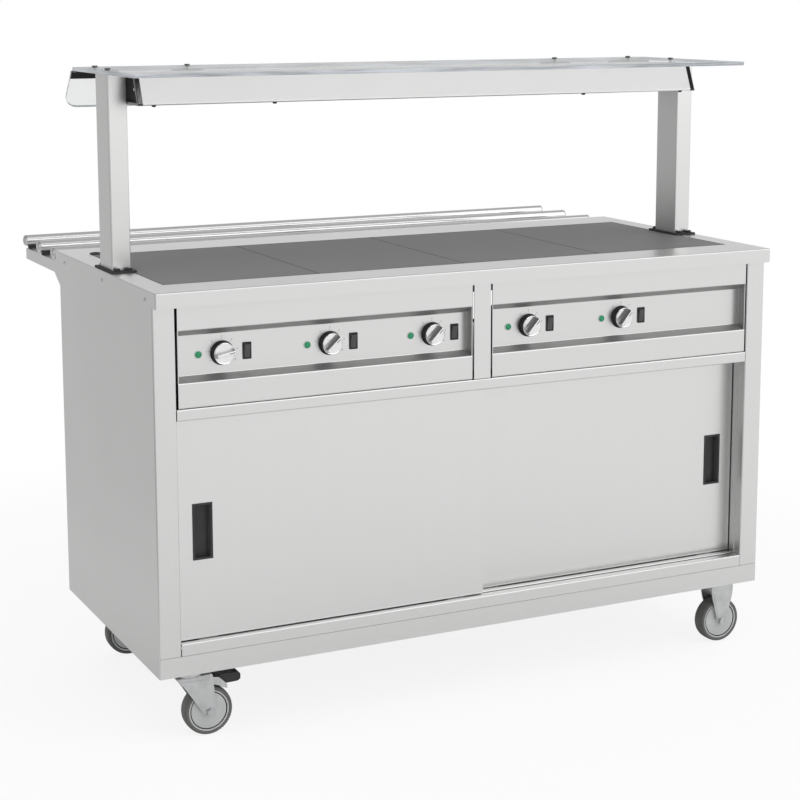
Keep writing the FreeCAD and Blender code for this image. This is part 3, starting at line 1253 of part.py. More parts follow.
def main():
    os.makedirs("parts", exist_ok=True)
    for name, shape in nodes().items():
        shape.translate(FRAME_SHIFT)
        shape.exportStep(os.path.join("parts", name + ".step"))


main()
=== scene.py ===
"""The looks of a mobile heated servery counter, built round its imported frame.

Metres, +Z up, X along the counter, -Y the operator's side. The frame's solids keep their
places; round, soft-edged and small pieces are modelled again here and ride on their bodies.
"""
import logging
import math
from dataclasses import dataclass, field
from enum import Enum
from typing import Callable, Iterable, Sequence

import bmesh
import bpy
from mathutils import Matrix, Vector


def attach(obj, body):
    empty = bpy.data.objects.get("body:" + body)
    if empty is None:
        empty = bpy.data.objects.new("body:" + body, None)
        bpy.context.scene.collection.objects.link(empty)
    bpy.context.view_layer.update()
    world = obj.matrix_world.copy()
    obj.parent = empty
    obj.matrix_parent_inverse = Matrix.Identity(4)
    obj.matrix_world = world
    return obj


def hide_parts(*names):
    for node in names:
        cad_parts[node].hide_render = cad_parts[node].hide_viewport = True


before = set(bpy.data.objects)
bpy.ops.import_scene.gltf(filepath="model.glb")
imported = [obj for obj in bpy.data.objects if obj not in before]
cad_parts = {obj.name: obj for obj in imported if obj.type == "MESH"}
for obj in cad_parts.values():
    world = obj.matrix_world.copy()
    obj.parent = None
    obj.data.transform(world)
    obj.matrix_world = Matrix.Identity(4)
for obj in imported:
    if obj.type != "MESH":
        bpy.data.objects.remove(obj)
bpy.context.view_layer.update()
LOG = logging.getLogger("servery")
MM = 0.001
SHIFT_Y = -471.75
Point = tuple[float, float, float]


def at(x: float, y: float, z: float) -> Vector:
    """A point given in millimetres, with Y counted from the cabinet's front face."""
    return Vector((x * MM, (y + SHIFT_Y) * MM, z * MM))


class Axis(Enum):
    """A direction of the frame."""

    X = (1.0, 0.0, 0.0)
    Y = (0.0, 1.0, 0.0)
    Z = (0.0, 0.0, 1.0)

    def turn(self) -> Matrix:
        """The rotation that takes +Z to this axis."""
        return Vector((0, 0, 1)).rotation_difference(Vector(self.value)).to_matrix().to_4x4()


# ---------------------------------------------------------------- shader maths
class Wire:
    """A shader socket that takes part in Python expressions."""

    def __init__(self, recipe: "Recipe", socket: bpy.types.NodeSocket) -> None:
        """Keep the socket and the recipe whose nodes it belongs to."""
        self.recipe = recipe
        self.socket = socket

    def _math(self, operation: str, *values: "Wire | float") -> "Wire":
        """One Math node over the values."""
        return self.recipe.node("ShaderNodeMath", {"operation": operation}, dict(enumerate(values)))

    def __add__(self, other: "Wire | float") -> "Wire":
        """Sum."""
        return self._math("ADD", self, other)

    def __sub__(self, other: "Wire | float") -> "Wire":
        """Difference."""
        return self._math("SUBTRACT", self, other)

    def __rsub__(self, other: float) -> "Wire":
        """Difference from a number."""
        return self._math("SUBTRACT", other, self)

    def __mul__(self, other: "Wire | float") -> "Wire":
        """Product."""
        return self._math("MULTIPLY", self, other)

    __radd__ = __add__
    __rmul__ = __mul__

    def power(self, exponent: float) -> "Wire":
        """This value to a power."""
        return self._math("POWER", self, exponent)

    def sine(self) -> "Wire":
        """The sine of this value."""
        return self._math("SINE", self)

    def size(self) -> "Wire":
        """The value without its sign."""
        return self._math("ABSOLUTE", self)

    def most(self, other: "Wire | float") -> "Wire":
        """The larger of two values."""
        return self._math("MAXIMUM", self, other)

    def ramp(self, low: float, high: float, start: float = 0.0, end: float = 1.0) -> "Wire":
        """A smooth change from start to end as this value goes from low to high.

        Args:
            low: where the change begins.
            high: where it ends.
            start: the result before it.
            end: the result after it.

        Returns:
            The changed value.
        """
        values = {"Value": self, "From Min": low, "From Max": high, "To Min": start, "To Max": end}
        return self.recipe.node("ShaderNodeMapRange", {"interpolation_type": "SMOOTHSTEP"}, values)


class Recipe:
    """The node tree of one material or of the world."""

    def __init__(self, tree: bpy.types.NodeTree) -> None:
        """Start from an empty tree."""
        tree.nodes.clear()
        self.tree = tree

    def node(self, kind: str, settings: dict, values: dict, output: int | str = 0) -> Wire:
        """Add a node, set it up, and feed its sockets.

        Args:
            kind: the node's type.
            settings: properties that are set first.
            values: wires, numbers, colours or vectors by socket name or number.
            output: the socket to return.

        Returns:
            The chosen output.
        """
        node = self.tree.nodes.new(kind)
        for name, value in settings.items():
            setattr(node, name, value)
        for key, value in values.items():
            if isinstance(value, Wire):
                self.tree.links.new(value.socket, node.inputs[key])
            else:
                node.inputs[key].default_value = value
        return Wire(self, node.outputs[output]) if len(node.outputs) else Wire(self, None)

    def place(self, scale: Point = (1, 1, 1)) -> Wire:
        """Object coordinates, stretched by a scale for each axis."""
        spot = self.node("ShaderNodeTexCoord", {}, {}, "Object")
        return self.node("ShaderNodeMapping", {}, {"Vector": spot, "Scale": scale})

    def along(self, axis: Axis) -> Wire:
        """The object coordinate along one axis, in metres."""
        spot = self.node("ShaderNodeTexCoord", {}, {}, "Object")
        return self.node("ShaderNodeSeparateXYZ", {}, {0: spot}, axis.name)

    def noise(self, scale: Point, detail: float = 2.0, roughness: float = 0.5) -> Wire:
        """Noise from 0 to 1 whose grain is set for each axis, in cells a metre."""
        values = {"Vector": self.place(scale), "Scale": 1.0, "Detail": detail, "Roughness": roughness}
        return self.node("ShaderNodeTexNoise", {}, values)

    def blend(self, factor: Wire, first: Sequence[float] | Wire, second: Sequence[float] | Wire) -> Wire:
        """A colour between two, by the factor."""
        four = [tuple(c) + (1.0,) if not isinstance(c, Wire) and len(c) == 3 else c for c in (first, second)]
        return self.node("ShaderNodeMix", {"data_type": "RGBA"}, {0: factor, 6: four[0], 7: four[1]}, 2)

    def bump(self, height: Wire, depth: float, strength: float = 1.0) -> Wire:
        """A normal tilted by a height map, depth in metres."""
        return self.node("ShaderNodeBump", {}, {"Strength": strength, "Distance": depth, "Height": height})

    def surface(self, **values: object) -> Wire:
        """The main shader, whose sockets are named with underscores for spaces."""
        named = {key.replace("_", " "): value for key, value in values.items()}
        return self.node("ShaderNodeBsdfPrincipled", {}, named)

    def output(self, shader: Wire, world: bool = False) -> None:
        """Join a shader to the tree's output."""
        kind = "ShaderNodeOutputWorld" if world else "ShaderNodeOutputMaterial"
        self.node(kind, {}, {"Surface": shader})


def tinted(colour: Sequence[float], gain: float) -> tuple[float, ...]:
    """A colour made lighter or darker."""
    return tuple(min(1.0, channel * gain) for channel in colour[:3])


class Finish:
    """What a surface is made of; each kind builds one material and keeps it."""

    _made: dict[str, bpy.types.Material] = {}
    name: str

    def recipe(self, recipe: Recipe) -> Wire:
        """The shader of this finish."""
        raise NotImplementedError

    def material(self) -> bpy.types.Material:
        """The material, made at its first use."""
        if self.name not in Finish._made:
            material = bpy.data.materials.new(self.name)
            material.use_nodes = True
            recipe = Recipe(material.node_tree)
            recipe.output(self.recipe(recipe))
            Finish._made[self.name] = material
        return Finish._made[self.name]

    def on(self, piece: bpy.types.Object) -> bpy.types.Object:
        """Give the piece this finish all over."""
        if piece.material_slots:
            for slot in piece.material_slots:
                slot.material = self.material()
        else:
            piece.data.materials.append(self.material())
        return piece

    def paint(self, piece: bpy.types.Object, test: Callable[[bpy.types.MeshPolygon], bool]) -> bpy.types.Object:
        """Give the piece this finish on the faces that pass a test."""
        piece.data.materials.append(self.material())
        index = len(piece.data.materials) - 1
        for face in piece.data.polygons:
            if test(face):
                face.material_index = index
        return piece


@dataclass(frozen=True)
class SatinSteel(Finish):
    """Stainless sheet with a fine grain along one axis and faint smudges."""

    name: str
    grain: Axis = Axis.X
    colour: tuple[float, float, float] = (0.66, 0.66, 0.655)
    roughness: float = 0.3

    def recipe(self, recipe: Recipe) -> Wire:
        """Grain in roughness, colour and bump; smudges as slow changes of gloss; painted shade where a subclass
        marks slants.
        """
        fine = tuple(9.0 if axis is self.grain else 1500.0 for axis in Axis)
        broad = tuple(0.8 if axis is self.grain else 90.0 for axis in Axis)
        hair = recipe.noise(fine, 3.0, 0.6)
        band = recipe.noise(broad, 2.0)
        smudge = recipe.noise((3.0, 3.0, 3.0), 3.0, 0.55).ramp(0.35, 0.75)
        tone = recipe.blend(hair * 0.7 + band * 0.3, tinted(self.colour, 0.98), tinted(self.colour, 1.02))
        gloss = self.roughness + (hair - 0.5) * 0.04 + smudge * 0.03
        fold = self.fold(recipe)
        if fold is not None:
            # painted shade: the slants' colour is darkened to 60 per cent of the steel's
            tone = recipe.blend(fold, tone, tinted(self.colour, 0.60))
            gloss = gloss + fold * 0.22
        return recipe.surface(Base_Color=tone, Metallic=1.0, Roughness=gloss,
                              Normal=recipe.bump(hair, 0.00001, 0.06))

    def fold(self, recipe: Recipe) -> Wire | None:
        """Where painted shade darkens a pressed slant, which is also rougher: nowhere on a plain one."""
        return None


@dataclass(frozen=True)
class FasciaSteel(SatinSteel):
    """The control panels' steel, whose pressed slants above and below the controls carry painted shade and are
    rougher.
    """

    front: float = 0.0
    back: float = 22.0
    low: float = 720.0
    high: float = 824.0

    def fold(self, recipe: Recipe) -> Wire:
        """One between the front face and the recess's face, along its two slants, where the shade is painted.
        """
        depth, height = recipe.along(Axis.Y), recipe.along(Axis.Z)
        near, far = at(0, self.front, 0).y, at(0, self.back, 0).y
        past_front = depth.ramp(near + 0.5 * MM, near + 1.5 * MM)
        before_back = depth.ramp(far - 1.2 * MM, far - 0.4 * MM, 1.0, 0.0)
        over_low = height.ramp(self.low * MM, self.low * MM + MM)
        under_high = height.ramp(self.high * MM, self.high * MM + MM, 1.0, 0.0)
        return past_front * before_back * over_low * under_high


@dataclass(frozen=True)
class Zinc(Finish):
    """Bright zinc plate: cool grey with a mottled spangle and dull spots."""

    name: str = "zinc_plate"
    colour: tuple[float, float, float] = (0.56, 0.565, 0.57)

    def recipe(self, recipe: Recipe) -> Wire:
        """Spangle in colour and roughness, fine pits in the bump."""
        spangle = recipe.noise((220.0, 220.0, 220.0), 2.0)
        cloud = recipe.noise((45.0, 45.0, 45.0), 3.0).ramp(0.35, 0.7)
        tone = recipe.blend(cloud * 0.6 + spangle * 0.4, tinted(self.colour, 0.86), tinted(self.colour, 1.1))
        gloss = 0.30 + cloud * 0.12 + spangle * 0.06
        return recipe.surface(Base_Color=tone, Metallic=1.0, Roughness=gloss,
                              Normal=recipe.bump(spangle, 0.00005, 0.3))


@dataclass(frozen=True)
class Polished(Finish):
    """Bright turned metal with faint concentric marks and finger haze."""

    name: str = "polished_metal"
    colour: tuple[float, float, float] = (0.80, 0.80, 0.80)

    def recipe(self, recipe: Recipe) -> Wire:
        """Haze in the roughness, hairline marks in the bump."""
        haze = recipe.noise((90.0, 90.0, 90.0), 3.0).ramp(0.4, 0.75)
        marks = recipe.noise((2500.0, 80.0, 2500.0), 2.0)
        tone = recipe.blend(haze, self.colour, tinted(self.colour, 0.93))
        return recipe.surface(Base_Color=tone, Metallic=1.0, Roughness=0.10 + haze * 0.10,
                              Normal=recipe.bump(marks, 0.00002, 0.2))


@dataclass(frozen=True)
class Moulded(Finish):
    """Moulded plastic or rubber with a fine spark texture and slightly rubbed high spots."""

    name: str
    colour: tuple[float, float, float]
    roughness: float = 0.5
    texture: float = 900.0
    depth: float = 0.00006
    rub: float = 1.25

    def recipe(self, recipe: Recipe) -> Wire:
        """Spark texture in the bump, rubbed patches in colour and roughness."""
        spark = recipe.noise((self.texture,) * 3, 2.0)
        patch = recipe.noise((30.0, 30.0, 30.0), 3.0).ramp(0.45, 0.75)
        tone = recipe.blend(patch * 0.7 + spark * 0.3, self.colour, tinted(self.colour, self.rub))
        gloss = self.roughness + (spark - 0.5) * 0.1 - patch * 0.06
        return recipe.surface(Base_Color=tone, Roughness=gloss, Specular_IOR_Level=0.4,
                              Normal=recipe.bump(spark, self.depth, 0.5))


@dataclass(frozen=True)
class HotTile(Finish):
    """Matte grey heated tile with a fine stipple and faint wiping marks."""

    name: str = "hot_tile"
    colour: tuple[float, float, float] = (0.19, 0.192, 0.19)

    def recipe(self, recipe: Recipe) -> Wire:
        """Stipple in the bump, long wiping marks in the gloss."""
        stipple = recipe.noise((1400.0, 1400.0, 1400.0), 2.0)
        wiped = recipe.noise((4.0, 30.0, 4.0), 3.0, 0.6)
        tone = recipe.blend(wiped * 0.6 + stipple * 0.4, tinted(self.colour, 0.94), tinted(self.colour, 1.07))
        return recipe.surface(Base_Color=tone, Roughness=0.52 + wiped * 0.12, Specular_IOR_Level=0.35,
                              Normal=recipe.bump(stipple, 0.00004, 0.35))


@dataclass(frozen=True)
class Pane(Finish):
    """Toughened glass: clear faces with faint dust and a sea-green body at the edges."""

    name: str = "clear_glass"
    clear: float = 0.84
    edge: tuple[float, float, float] = (0.60, 0.64, 0.65)

    def recipe(self, recipe: Recipe) -> Wire:
        """Mostly see-through, more solid where the face turns away, with dust in the gloss."""
        dust = recipe.noise((8.0, 8.0, 8.0), 4.0, 0.6).ramp(0.4, 0.8)
        facing = recipe.node("ShaderNodeLayerWeight", {}, {"Blend": 0.35}, "Facing")
        tone = recipe.blend(facing, (0.84, 0.87, 0.87), self.edge)
        alpha = (1.0 - self.clear) + facing.power(2.0) * 0.30 + dust * 0.02
        return recipe.surface(Base_Color=tone, Roughness=0.03 + dust * 0.05, Alpha=alpha, IOR=1.5)


@dataclass(frozen=True)
class GlassEdge(Finish):
    """The ground and polished edge of a pane, cool grey with a slow change of depth."""

    name: str = "glass_edge"
    colour: tuple[float, float, float] = (0.40, 0.42, 0.45)

    def recipe(self, recipe: Recipe) -> Wire:
        """Light and dark stretches along the edge."""
        depth = recipe.noise((9.0, 9.0, 200.0), 3.0).ramp(0.3, 0.7)
        tone = recipe.blend(depth, tinted(self.colour, 0.8), tinted(self.colour, 1.5))
        return recipe.surface(Base_Color=tone, Roughness=0.12 + depth * 0.08, IOR=1.5)


@dataclass(frozen=True)
class SignalLens(Finish):
    """Green ribbed signal lens, deeper in colour between its ribs."""

    name: str = "green_lens"
    colour: tuple[float, float, float] = (0.010, 0.22, 0.095)

    def recipe(self, recipe: Recipe) -> Wire:
        """Square ribs in colour and bump, with a slight glow of its own."""
        ribs = ((recipe.along(Axis.X) * 3900.0).sine() * (recipe.along(Axis.Z) * 3900.0).sine()).ramp(-0.8, 0.8)
        tone = recipe.blend(ribs, tinted(self.colour, 0.6), tinted(self.colour, 1.5))
        return recipe.surface(Base_Color=tone, Roughness=0.18, Emission_Color=tone, Emission_Strength=0.15,
                              Normal=recipe.bump(ribs, 0.0003, 0.4))


@dataclass(frozen=True)
class Quartz(Finish):
    """Frosted quartz lamp tube with a warmer middle."""

    name: str = "quartz_tube"
    colour: tuple[float, float, float] = (0.80, 0.76, 0.68)

    def recipe(self, recipe: Recipe) -> Wire:
        """Cloudy frost in colour and gloss."""
        frost = recipe.noise((120.0, 120.0, 120.0), 3.0)
        tone = recipe.blend(frost, tinted(self.colour, 0.8), self.colour)
        return recipe.surface(Base_Color=tone, Roughness=0.15 + frost * 0.2, IOR=1.46)


STEEL_X = SatinSteel("satin_steel_lengthwise")
STEEL_Z = SatinSteel("satin_steel_upright", Axis.Z)
STEEL_Y = SatinSteel("satin_steel_crosswise", Axis.Y)
STEEL_DOOR = SatinSteel("door_steel", Axis.Z, (0.68, 0.68, 0.675), 0.28)
STEEL_FASCIA = FasciaSteel("fascia_steel", Axis.X)
STEEL_TUBE = SatinSteel("tube_steel", Axis.X, (0.70, 0.70, 0.70), 0.2)
ZINC = Zinc()
CHROME = Polished()
TILE = HotTile()
GLASS = Pane()
EDGE = GlassEdge()
LENS = SignalLens()
QUARTZ = Quartz()
BLACK = Moulded("black_plastic", (0.022, 0.022, 0.023), 0.42)
GLOSS_BLACK = Moulded("gloss_black", (0.014, 0.014, 0.015), 0.22, 400.0, 0.00002)
GASKET = Moulded("black_gasket", (0.03, 0.03, 0.03), 0.7)
HUB = Moulded("hub_nylon", (0.47, 0.48, 0.48), 0.42)
TYRE = Moulded("tyre_rubber", (0.115, 0.115, 0.11), 0.62, 500.0, 0.0001, 1.2)
PALE = Moulded("pale_bezel", (0.62, 0.68, 0.64), 0.3)
MAT = Moulded("heater_mat", (0.35, 0.10, 0.06), 0.6)
INK = Moulded("dial_ink", (0.05, 0.05, 0.05), 0.6)
CERAMIC = Moulded("lamp_ceramic", (0.62, 0.60, 0.56), 0.45)
ROCKER = Moulded("rocker_black", (0.055, 0.055, 0.058), 0.24, 500.0, 0.00002)
# a lighter black that paints sheen on the door cups' inner side walls
CUP_SIDE_SHEEN = Moulded("cup_side_painted_sheen", (0.06, 0.06, 0.062), 0.4)
FLANGE = Moulded("beam_plug_flange", (0.22, 0.22, 0.225), 0.4)
# darker chrome that paints shade on the knob grip's long sides
GRIP_SIDE_SHADE = Polished("grip_shade_chrome", (0.30, 0.30, 0.305))
CAPS = Polished("screw_metal", (0.62, 0.62, 0.63))


# ---------------------------------------------------------------- modelling
class Bench:
    """The operators that new pieces are made with, one piece at a time."""

    @staticmethod
    def clear() -> None:
        """Leave nothing selected."""
        bpy.ops.object.select_all(action="DESELECT")

    @staticmethod
    def settle(name: str, finish: Finish | None = None) -> bpy.types.Object:
        """Name the active piece, put its place in its mesh and give it a finish."""
        piece = bpy.context.active_object
        piece.name = piece.data.name = name
        bpy.ops.object.transform_apply(location=True, rotation=True, scale=True)
        return finish.on(piece) if finish else piece

    @staticmethod
    def block(name: str, low: Vector, high: Vector, finish: Finish | None = None) -> bpy.types.Object:
        """A box between two corners."""
        Bench.clear()
        bpy.ops.mesh.primitive_cube_add(size=1.0, location=(low + high) / 2)
        bpy.context.active_object.scale = high - low
        return Bench.settle(name, finish)

    @staticmethod
    def turned(name: str, profile: Sequence[tuple[float, float]], centre: Vector, axis: Axis,
               finish: Finish | None = None, sides: int = 48) -> bpy.types.Object:
        """A lathe shape, made by extruding and resizing one ring.

        Args:
            name: the piece's name.
            profile: (distance along the axis, radius) in millimetres; it closes on itself or at the axis.
            centre: where the distances count from.
            axis: the lathe's axis.
            finish: its finish.
            sides: the number of facets round it.

        Returns:
            The piece, shaded smooth.
        """
        rings = [(along * MM, max(radius, 0.004) * MM) for along, radius in profile]
        Bench.clear()
        bpy.ops.mesh.primitive_circle_add(vertices=sides, radius=rings[0][1], fill_type="NOTHING",
                                          location=(0, 0, rings[0][0]))
        bpy.ops.object.mode_set(mode="EDIT")
        bpy.ops.mesh.select_mode(type="VERT")
        bpy.ops.mesh.select_all(action="SELECT")
        for (z0, r0), (z1, r1) in zip(rings, rings[1:]):
            bpy.ops.mesh.extrude_region_move(TRANSFORM_OT_translate={"value": (0, 0, z1 - z0)})
            bpy.ops.transform.resize(value=(r1 / r0, r1 / r0, 1), center_override=(0, 0, z1))
        bpy.ops.mesh.select_all(action="SELECT")
        bpy.ops.mesh.remove_doubles(threshold=0.00001)
        bpy.ops.mesh.normals_make_consistent(inside=False)
        bpy.ops.object.mode_set(mode="OBJECT")
        lathe = Matrix.Translation(centre) @ axis.turn() @ Matrix.Translation((0, 0, rings[0][0]))
        bpy.context.active_object.matrix_world = lathe
        piece = Bench.settle(name, finish)
        return Bench.smooth(piece, 35)

    @staticmethod
    def carve(piece: bpy.types.Object, cuts: Iterable[tuple[Vector, Point]]) -> bpy.types.Object:
        """Cut a solid by planes and cap it; what lies on each normal's side goes.

        Args:
            piece: a closed mesh.
            cuts: a point on each plane, and its normal.

        Returns:
            The same piece.
        """
        Bench.pick(piece)
        bpy.ops.object.mode_set(mode="EDIT")
        for point, normal in cuts:
            bpy.ops.mesh.select_all(action="SELECT")
            bpy.ops.mesh.bisect(plane_co=point, plane_no=normal, use_fill=True, clear_outer=True)
        bpy.ops.object.mode_set(mode="OBJECT")
        return piece

    @staticmethod
    def pick(piece: bpy.types.Object) -> None:
        """Select one piece and make it active."""
        Bench.clear()
        piece.select_set(True)
        bpy.context.view_layer.objects.active = piece

    @staticmethod
    def faces(piece: bpy.types.Object, test: Callable[[bmesh.types.BMFace], bool]) -> None:
        """Enter edit mode with the faces that pass a test selected."""
        Bench.pick(piece)
        bpy.ops.object.mode_set(mode="EDIT")
        bpy.ops.mesh.select_mode(type="FACE")
        bpy.ops.mesh.select_all(action="DESELECT")
        shape = bmesh.from_edit_mesh(piece.data)
        for face in shape.faces:
            face.select = test(face)
        bmesh.update_edit_mesh(piece.data)

    @staticmethod
    def recess(piece: bpy.types.Object, test: Callable[[bmesh.types.BMFace], bool], rim: float, shift: Vector,
               taper: float = 0.0, even: bool = True) -> bpy.types.Object:
        """Inset the chosen faces and push them in or out.

        Args:
            piece: the mesh.
            test: which faces.
            rim: width of the border left round them, in metres.
            shift: how far they move.
            taper: a second inset at the end of the move, in metres.
            even: whether the border keeps its width round sharp corners, which flat rectangles want.

        Returns:
            The same piece.
        """
        Bench.faces(piece, test)
        bpy.ops.mesh.inset(thickness=rim, depth=0, use_even_offset=even)
        bpy.ops.mesh.extrude_region_move(TRANSFORM_OT_translate={"value": shift})
        if taper:
            bpy.ops.mesh.inset(thickness=taper, depth=0, use_even_offset=even)
        bpy.ops.object.mode_set(mode="OBJECT")
        return piece

    @staticmethod
    def points(piece: bpy.types.Object, test: Callable[[Vector], bool]) -> None:
        """Enter edit mode with the points that pass a test selected."""
        Bench.pick(piece)
        bpy.ops.object.mode_set(mode="EDIT")
        bpy.ops.mesh.select_mode(type="VERT")
        bpy.ops.mesh.select_all(action="DESELECT")
        shape = bmesh.from_edit_mesh(piece.data)
        for point in shape.verts:
            point.select = test(point.co)
        shape.select_flush(True)
        bmesh.update_edit_mesh(piece.data)

    @staticmethod
    def split(piece: bpy.types.Object, point: Vector, normal: Point) -> None:
        """Add an edge loop where a plane meets the piece."""
        Bench.pick(piece)
        bpy.ops.object.mode_set(mode="EDIT")
        bpy.ops.mesh.select_all(action="SELECT")
        bpy.ops.mesh.bisect(plane_co=point, plane_no=normal)
        bpy.ops.object.mode_set(mode="OBJECT")

    @staticmethod
    def round_edges(piece: bpy.types.Object, test: Callable[[Vector, Vector], bool], width: float,
                    segments: int) -> bpy.types.Object:
        """Round the edges whose two ends pass a test, by a width in millimetres."""
        Bench.pick(piece)
        bpy.ops.object.mode_set(mode="EDIT")
        bpy.ops.mesh.select_mode(type="EDGE")
        bpy.ops.mesh.select_all(action="DESELECT")
        shape = bmesh.from_edit_mesh(piece.data)
        for edge in shape.edges:
            edge.select = test(edge.verts[0].co, edge.verts[1].co)
        bmesh.update_edit_mesh(piece.data)
        bpy.ops.mesh.bevel(offset=width * MM, segments=segments, affect="EDGES")
        bpy.ops.object.mode_set(mode="OBJECT")
        return Bench.smooth(piece, 35)

    @staticmethod
    def drawn(name: str, axis: Axis, sections: Sequence[tuple[float, ...]],
              finish: Finish | None = None) -> bpy.types.Object:
        """A block drawn out along an axis through rectangular sections.

        Args:
            name: the piece's name.
            axis: the way it is drawn.
            sections: (along, low, high, low, high) in millimetres; the last four across, in the axes' order.
            finish: its finish.

        Returns:
            The closed piece.
        """
        index = list(Axis).index(axis)

        def corners(section: tuple[float, ...]) -> tuple[Vector, Vector]:
            """A section's two corners."""
            low, high = [section[1], section[3]], [section[2], section[4]]
            low.insert(index, section[0])
            high.insert(index, section[0])
            return at(*low), at(*high)

        here, there = corners(sections[0]), corners(sections[1])
        sign = 1 if there[0][index] > here[0][index] else -1
        far = here[1].copy()
        far[index] = there[0][index]
        ends = list(zip(here[0], far))
        low, high = (Vector([pick(pair) for pair in ends]) for pick in (min, max))
        piece = Bench.block(name, low, high, finish)
        Bench.faces(piece, lambda face: face.normal[index] * sign > 0.9)
        for number, section in enumerate(sections[1:]):
            low, high = corners(section)
            step = low[index] - here[0][index]
            if number:
                move = Vector()
                move[index] = step
                bpy.ops.mesh.extrude_region_move(TRANSFORM_OT_translate={"value": move})
            middle = (here[0] + here[1]) / 2
            middle[index] = low[index]
            ratio = [1.0 if way == index else (high[way] - low[way]) / (here[1][way] - here[0][way])
                     for way in range(3)]
            bpy.ops.transform.resize(value=ratio, center_override=middle)
            bpy.ops.transform.translate(value=(low + high) / 2 - middle)
            here = (low, high)
        bpy.ops.object.mode_set(mode="OBJECT")
        return Bench.smooth(piece, 30)

    @staticmethod
    def smooth(piece: bpy.types.Object, angle: float) -> bpy.types.Object:
        """Shade smooth below an angle in degrees."""
        Bench.pick(piece)
        bpy.ops.object.shade_smooth_by_angle(angle=math.radians(angle))
        return piece

    @staticmethod
    def soften(piece: bpy.types.Object, width: float, segments: int = 3, angle: float = 30) -> bpy.types.Object:
        """Round every edge sharper than an angle, by a width in millimetres."""
        Bench.pick(piece)
        modifier = piece.modifiers.new("soft_edges", "BEVEL")
        modifier.width = width * MM
        modifier.segments = segments
        modifier.limit_method = "ANGLE"
        modifier.angle_limit = math.radians(angle)
        modifier.use_clamp_overlap = True
        bpy.ops.object.modifier_apply(modifier=modifier.name)
        return Bench.smooth(piece, 40)

    @staticmethod
    def join(name: str, pieces: Sequence[bpy.types.Object]) -> bpy.types.Object:
        """Make one piece of several."""
        Bench.clear()
        for piece in pieces:
            piece.select_set(True)
        bpy.context.view_layer.objects.active = pieces[0]
        bpy.ops.object.join()
        pieces[0].name = pieces[0].data.name = name
        return pieces[0]

    @staticmethod
    def copy(piece: bpy.types.Object, name: str, move: Matrix) -> bpy.types.Object:
        """A copy with its own mesh, moved by a matrix that keeps its handedness."""
        twin = piece.copy()
        twin.data = piece.data.copy()
        twin.name = twin.data.name = name
        twin.data.transform(move)
        bpy.context.collection.objects.link(twin)
        return twin


def ride(piece: bpy.types.Object, body: str, slot: str, *replaced: str) -> bpy.types.Object:
    """Fasten a finished piece to its body and hide the frame's nodes that it stands for.

    Args:
        piece: the new piece.
        body: the body it moves with.
        slot: not used.
        replaced: the frame's nodes that it stands for.

    Returns:
        The same piece.
    """
    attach(piece, body)
    if replaced:
        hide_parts(*replaced)
    LOG.info("%s rides on %s", piece.name, body)
    return piece


# ---------------------------------------------------------------- the frame's own solids
@dataclass
class SheetMetal:
    """The folded sheets and other solids of the frame that keep their shape."""

    finishes: dict[str, Finish] = field(default_factory=lambda: {
        "base_frame": STEEL_X, "side_panel_left": STEEL_Z, "side_panel_right": STEEL_Z, "back_panel": STEEL_Z,
        "cupboard_liner": STEEL_X, "cupboard_shelf": STEEL_X, "centre_stile": STEEL_Z, "door_sill": STEEL_X,
        "door_head_rail": STEEL_X, "fascia_left": STEEL_FASCIA, "fascia_right": STEEL_FASCIA,
        "counter_top": STEEL_X, "heater_tray": STEEL_X, "gantry_posts": STEEL_Z, "gantry_beam": STEEL_X,
        "tray_rails": STEEL_TUBE, "tray_brackets": STEEL_Y, "door_left": STEEL_DOOR, "door_right": STEEL_DOOR,
        "cupboard_element": STEEL_X, "castor_plates": ZINC, "fasteners": ZINC, "beam_end_caps": BLACK,
        "glass_clamps": BLACK, "hot_tiles": TILE, "tile_heaters": MAT, "mounting_packers": GASKET,
        "energy_regulators": BLACK, "cable_glands": BLACK, "control_bezels": GLOSS_BLACK,
        "pilot_lights": LENS, "glass_shelf": GLASS, "sneeze_screen": GLASS, "heat_lamps": QUARTZ,
    })
    families: dict[str, Finish] = field(default_factory=lambda: {
        "knob_": CHROME, "switch_rocker_": GLOSS_BLACK, "door_handle_": BLACK, "brake_pedal_": BLACK,
        "castor_fork_": ZINC, "castor_wheel_": HUB, "castor_tyre_": TYRE,
    })

    def dress(self) -> None:
        """Give every solid of the frame its finish."""
        for name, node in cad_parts.items():
            finish = self.finishes.get(name)
            if finish is None:
                finish = next(value for start, value in self.families.items() if name.startswith(start))
            finish.on(node)
        LOG.info("%d solids dressed", len(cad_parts))


# ---------------------------------------------------------------- sub-assemblies
@dataclass
class TraySlide:
    """Three round tubes with domed plugs, on the customer's side."""

    radius: float = 12.5
    plug: float = 6.2
    half: float = 693.0
    height: float = 886.0
    places: tuple[float, ...] = (715.0, 833.0, 951.0)

    def build(self) -> None:
        """Turn one tube and set it at each place."""
        dome = [(self.plug * math.sin(a), self.radius * math.cos(a))
                for a in (math.radians(step * 11.25) for step in range(9))]
        body = self.half - self.plug
        left = [(-body - along, radius) for along, radius in reversed(dome)]
        right = [(body + along, radius) for along, radius in dome]
        groove = [(-body + 0.4, self.radius - 0.5), (-body + 0.8, self.radius),
                  (body - 0.8, self.radius), (body - 0.4, self.radius - 0.5)]
        tube = Bench.turned("tray_tube_1", left + groove + right, at(0, self.places[0], self.height),
                            Axis.X, STEEL_TUBE, 64)
        for number, place in enumerate(self.places[1:], start=2):
            move = Matrix.Translation((0, (place - self.places[0]) * MM, 0))
            ride(Bench.copy(tube, f"tray_tube_{number}", move), "cabinet", "satin_steel", "tray_rails")
        ride(tube, "cabinet", "satin_steel", "tray_rails")


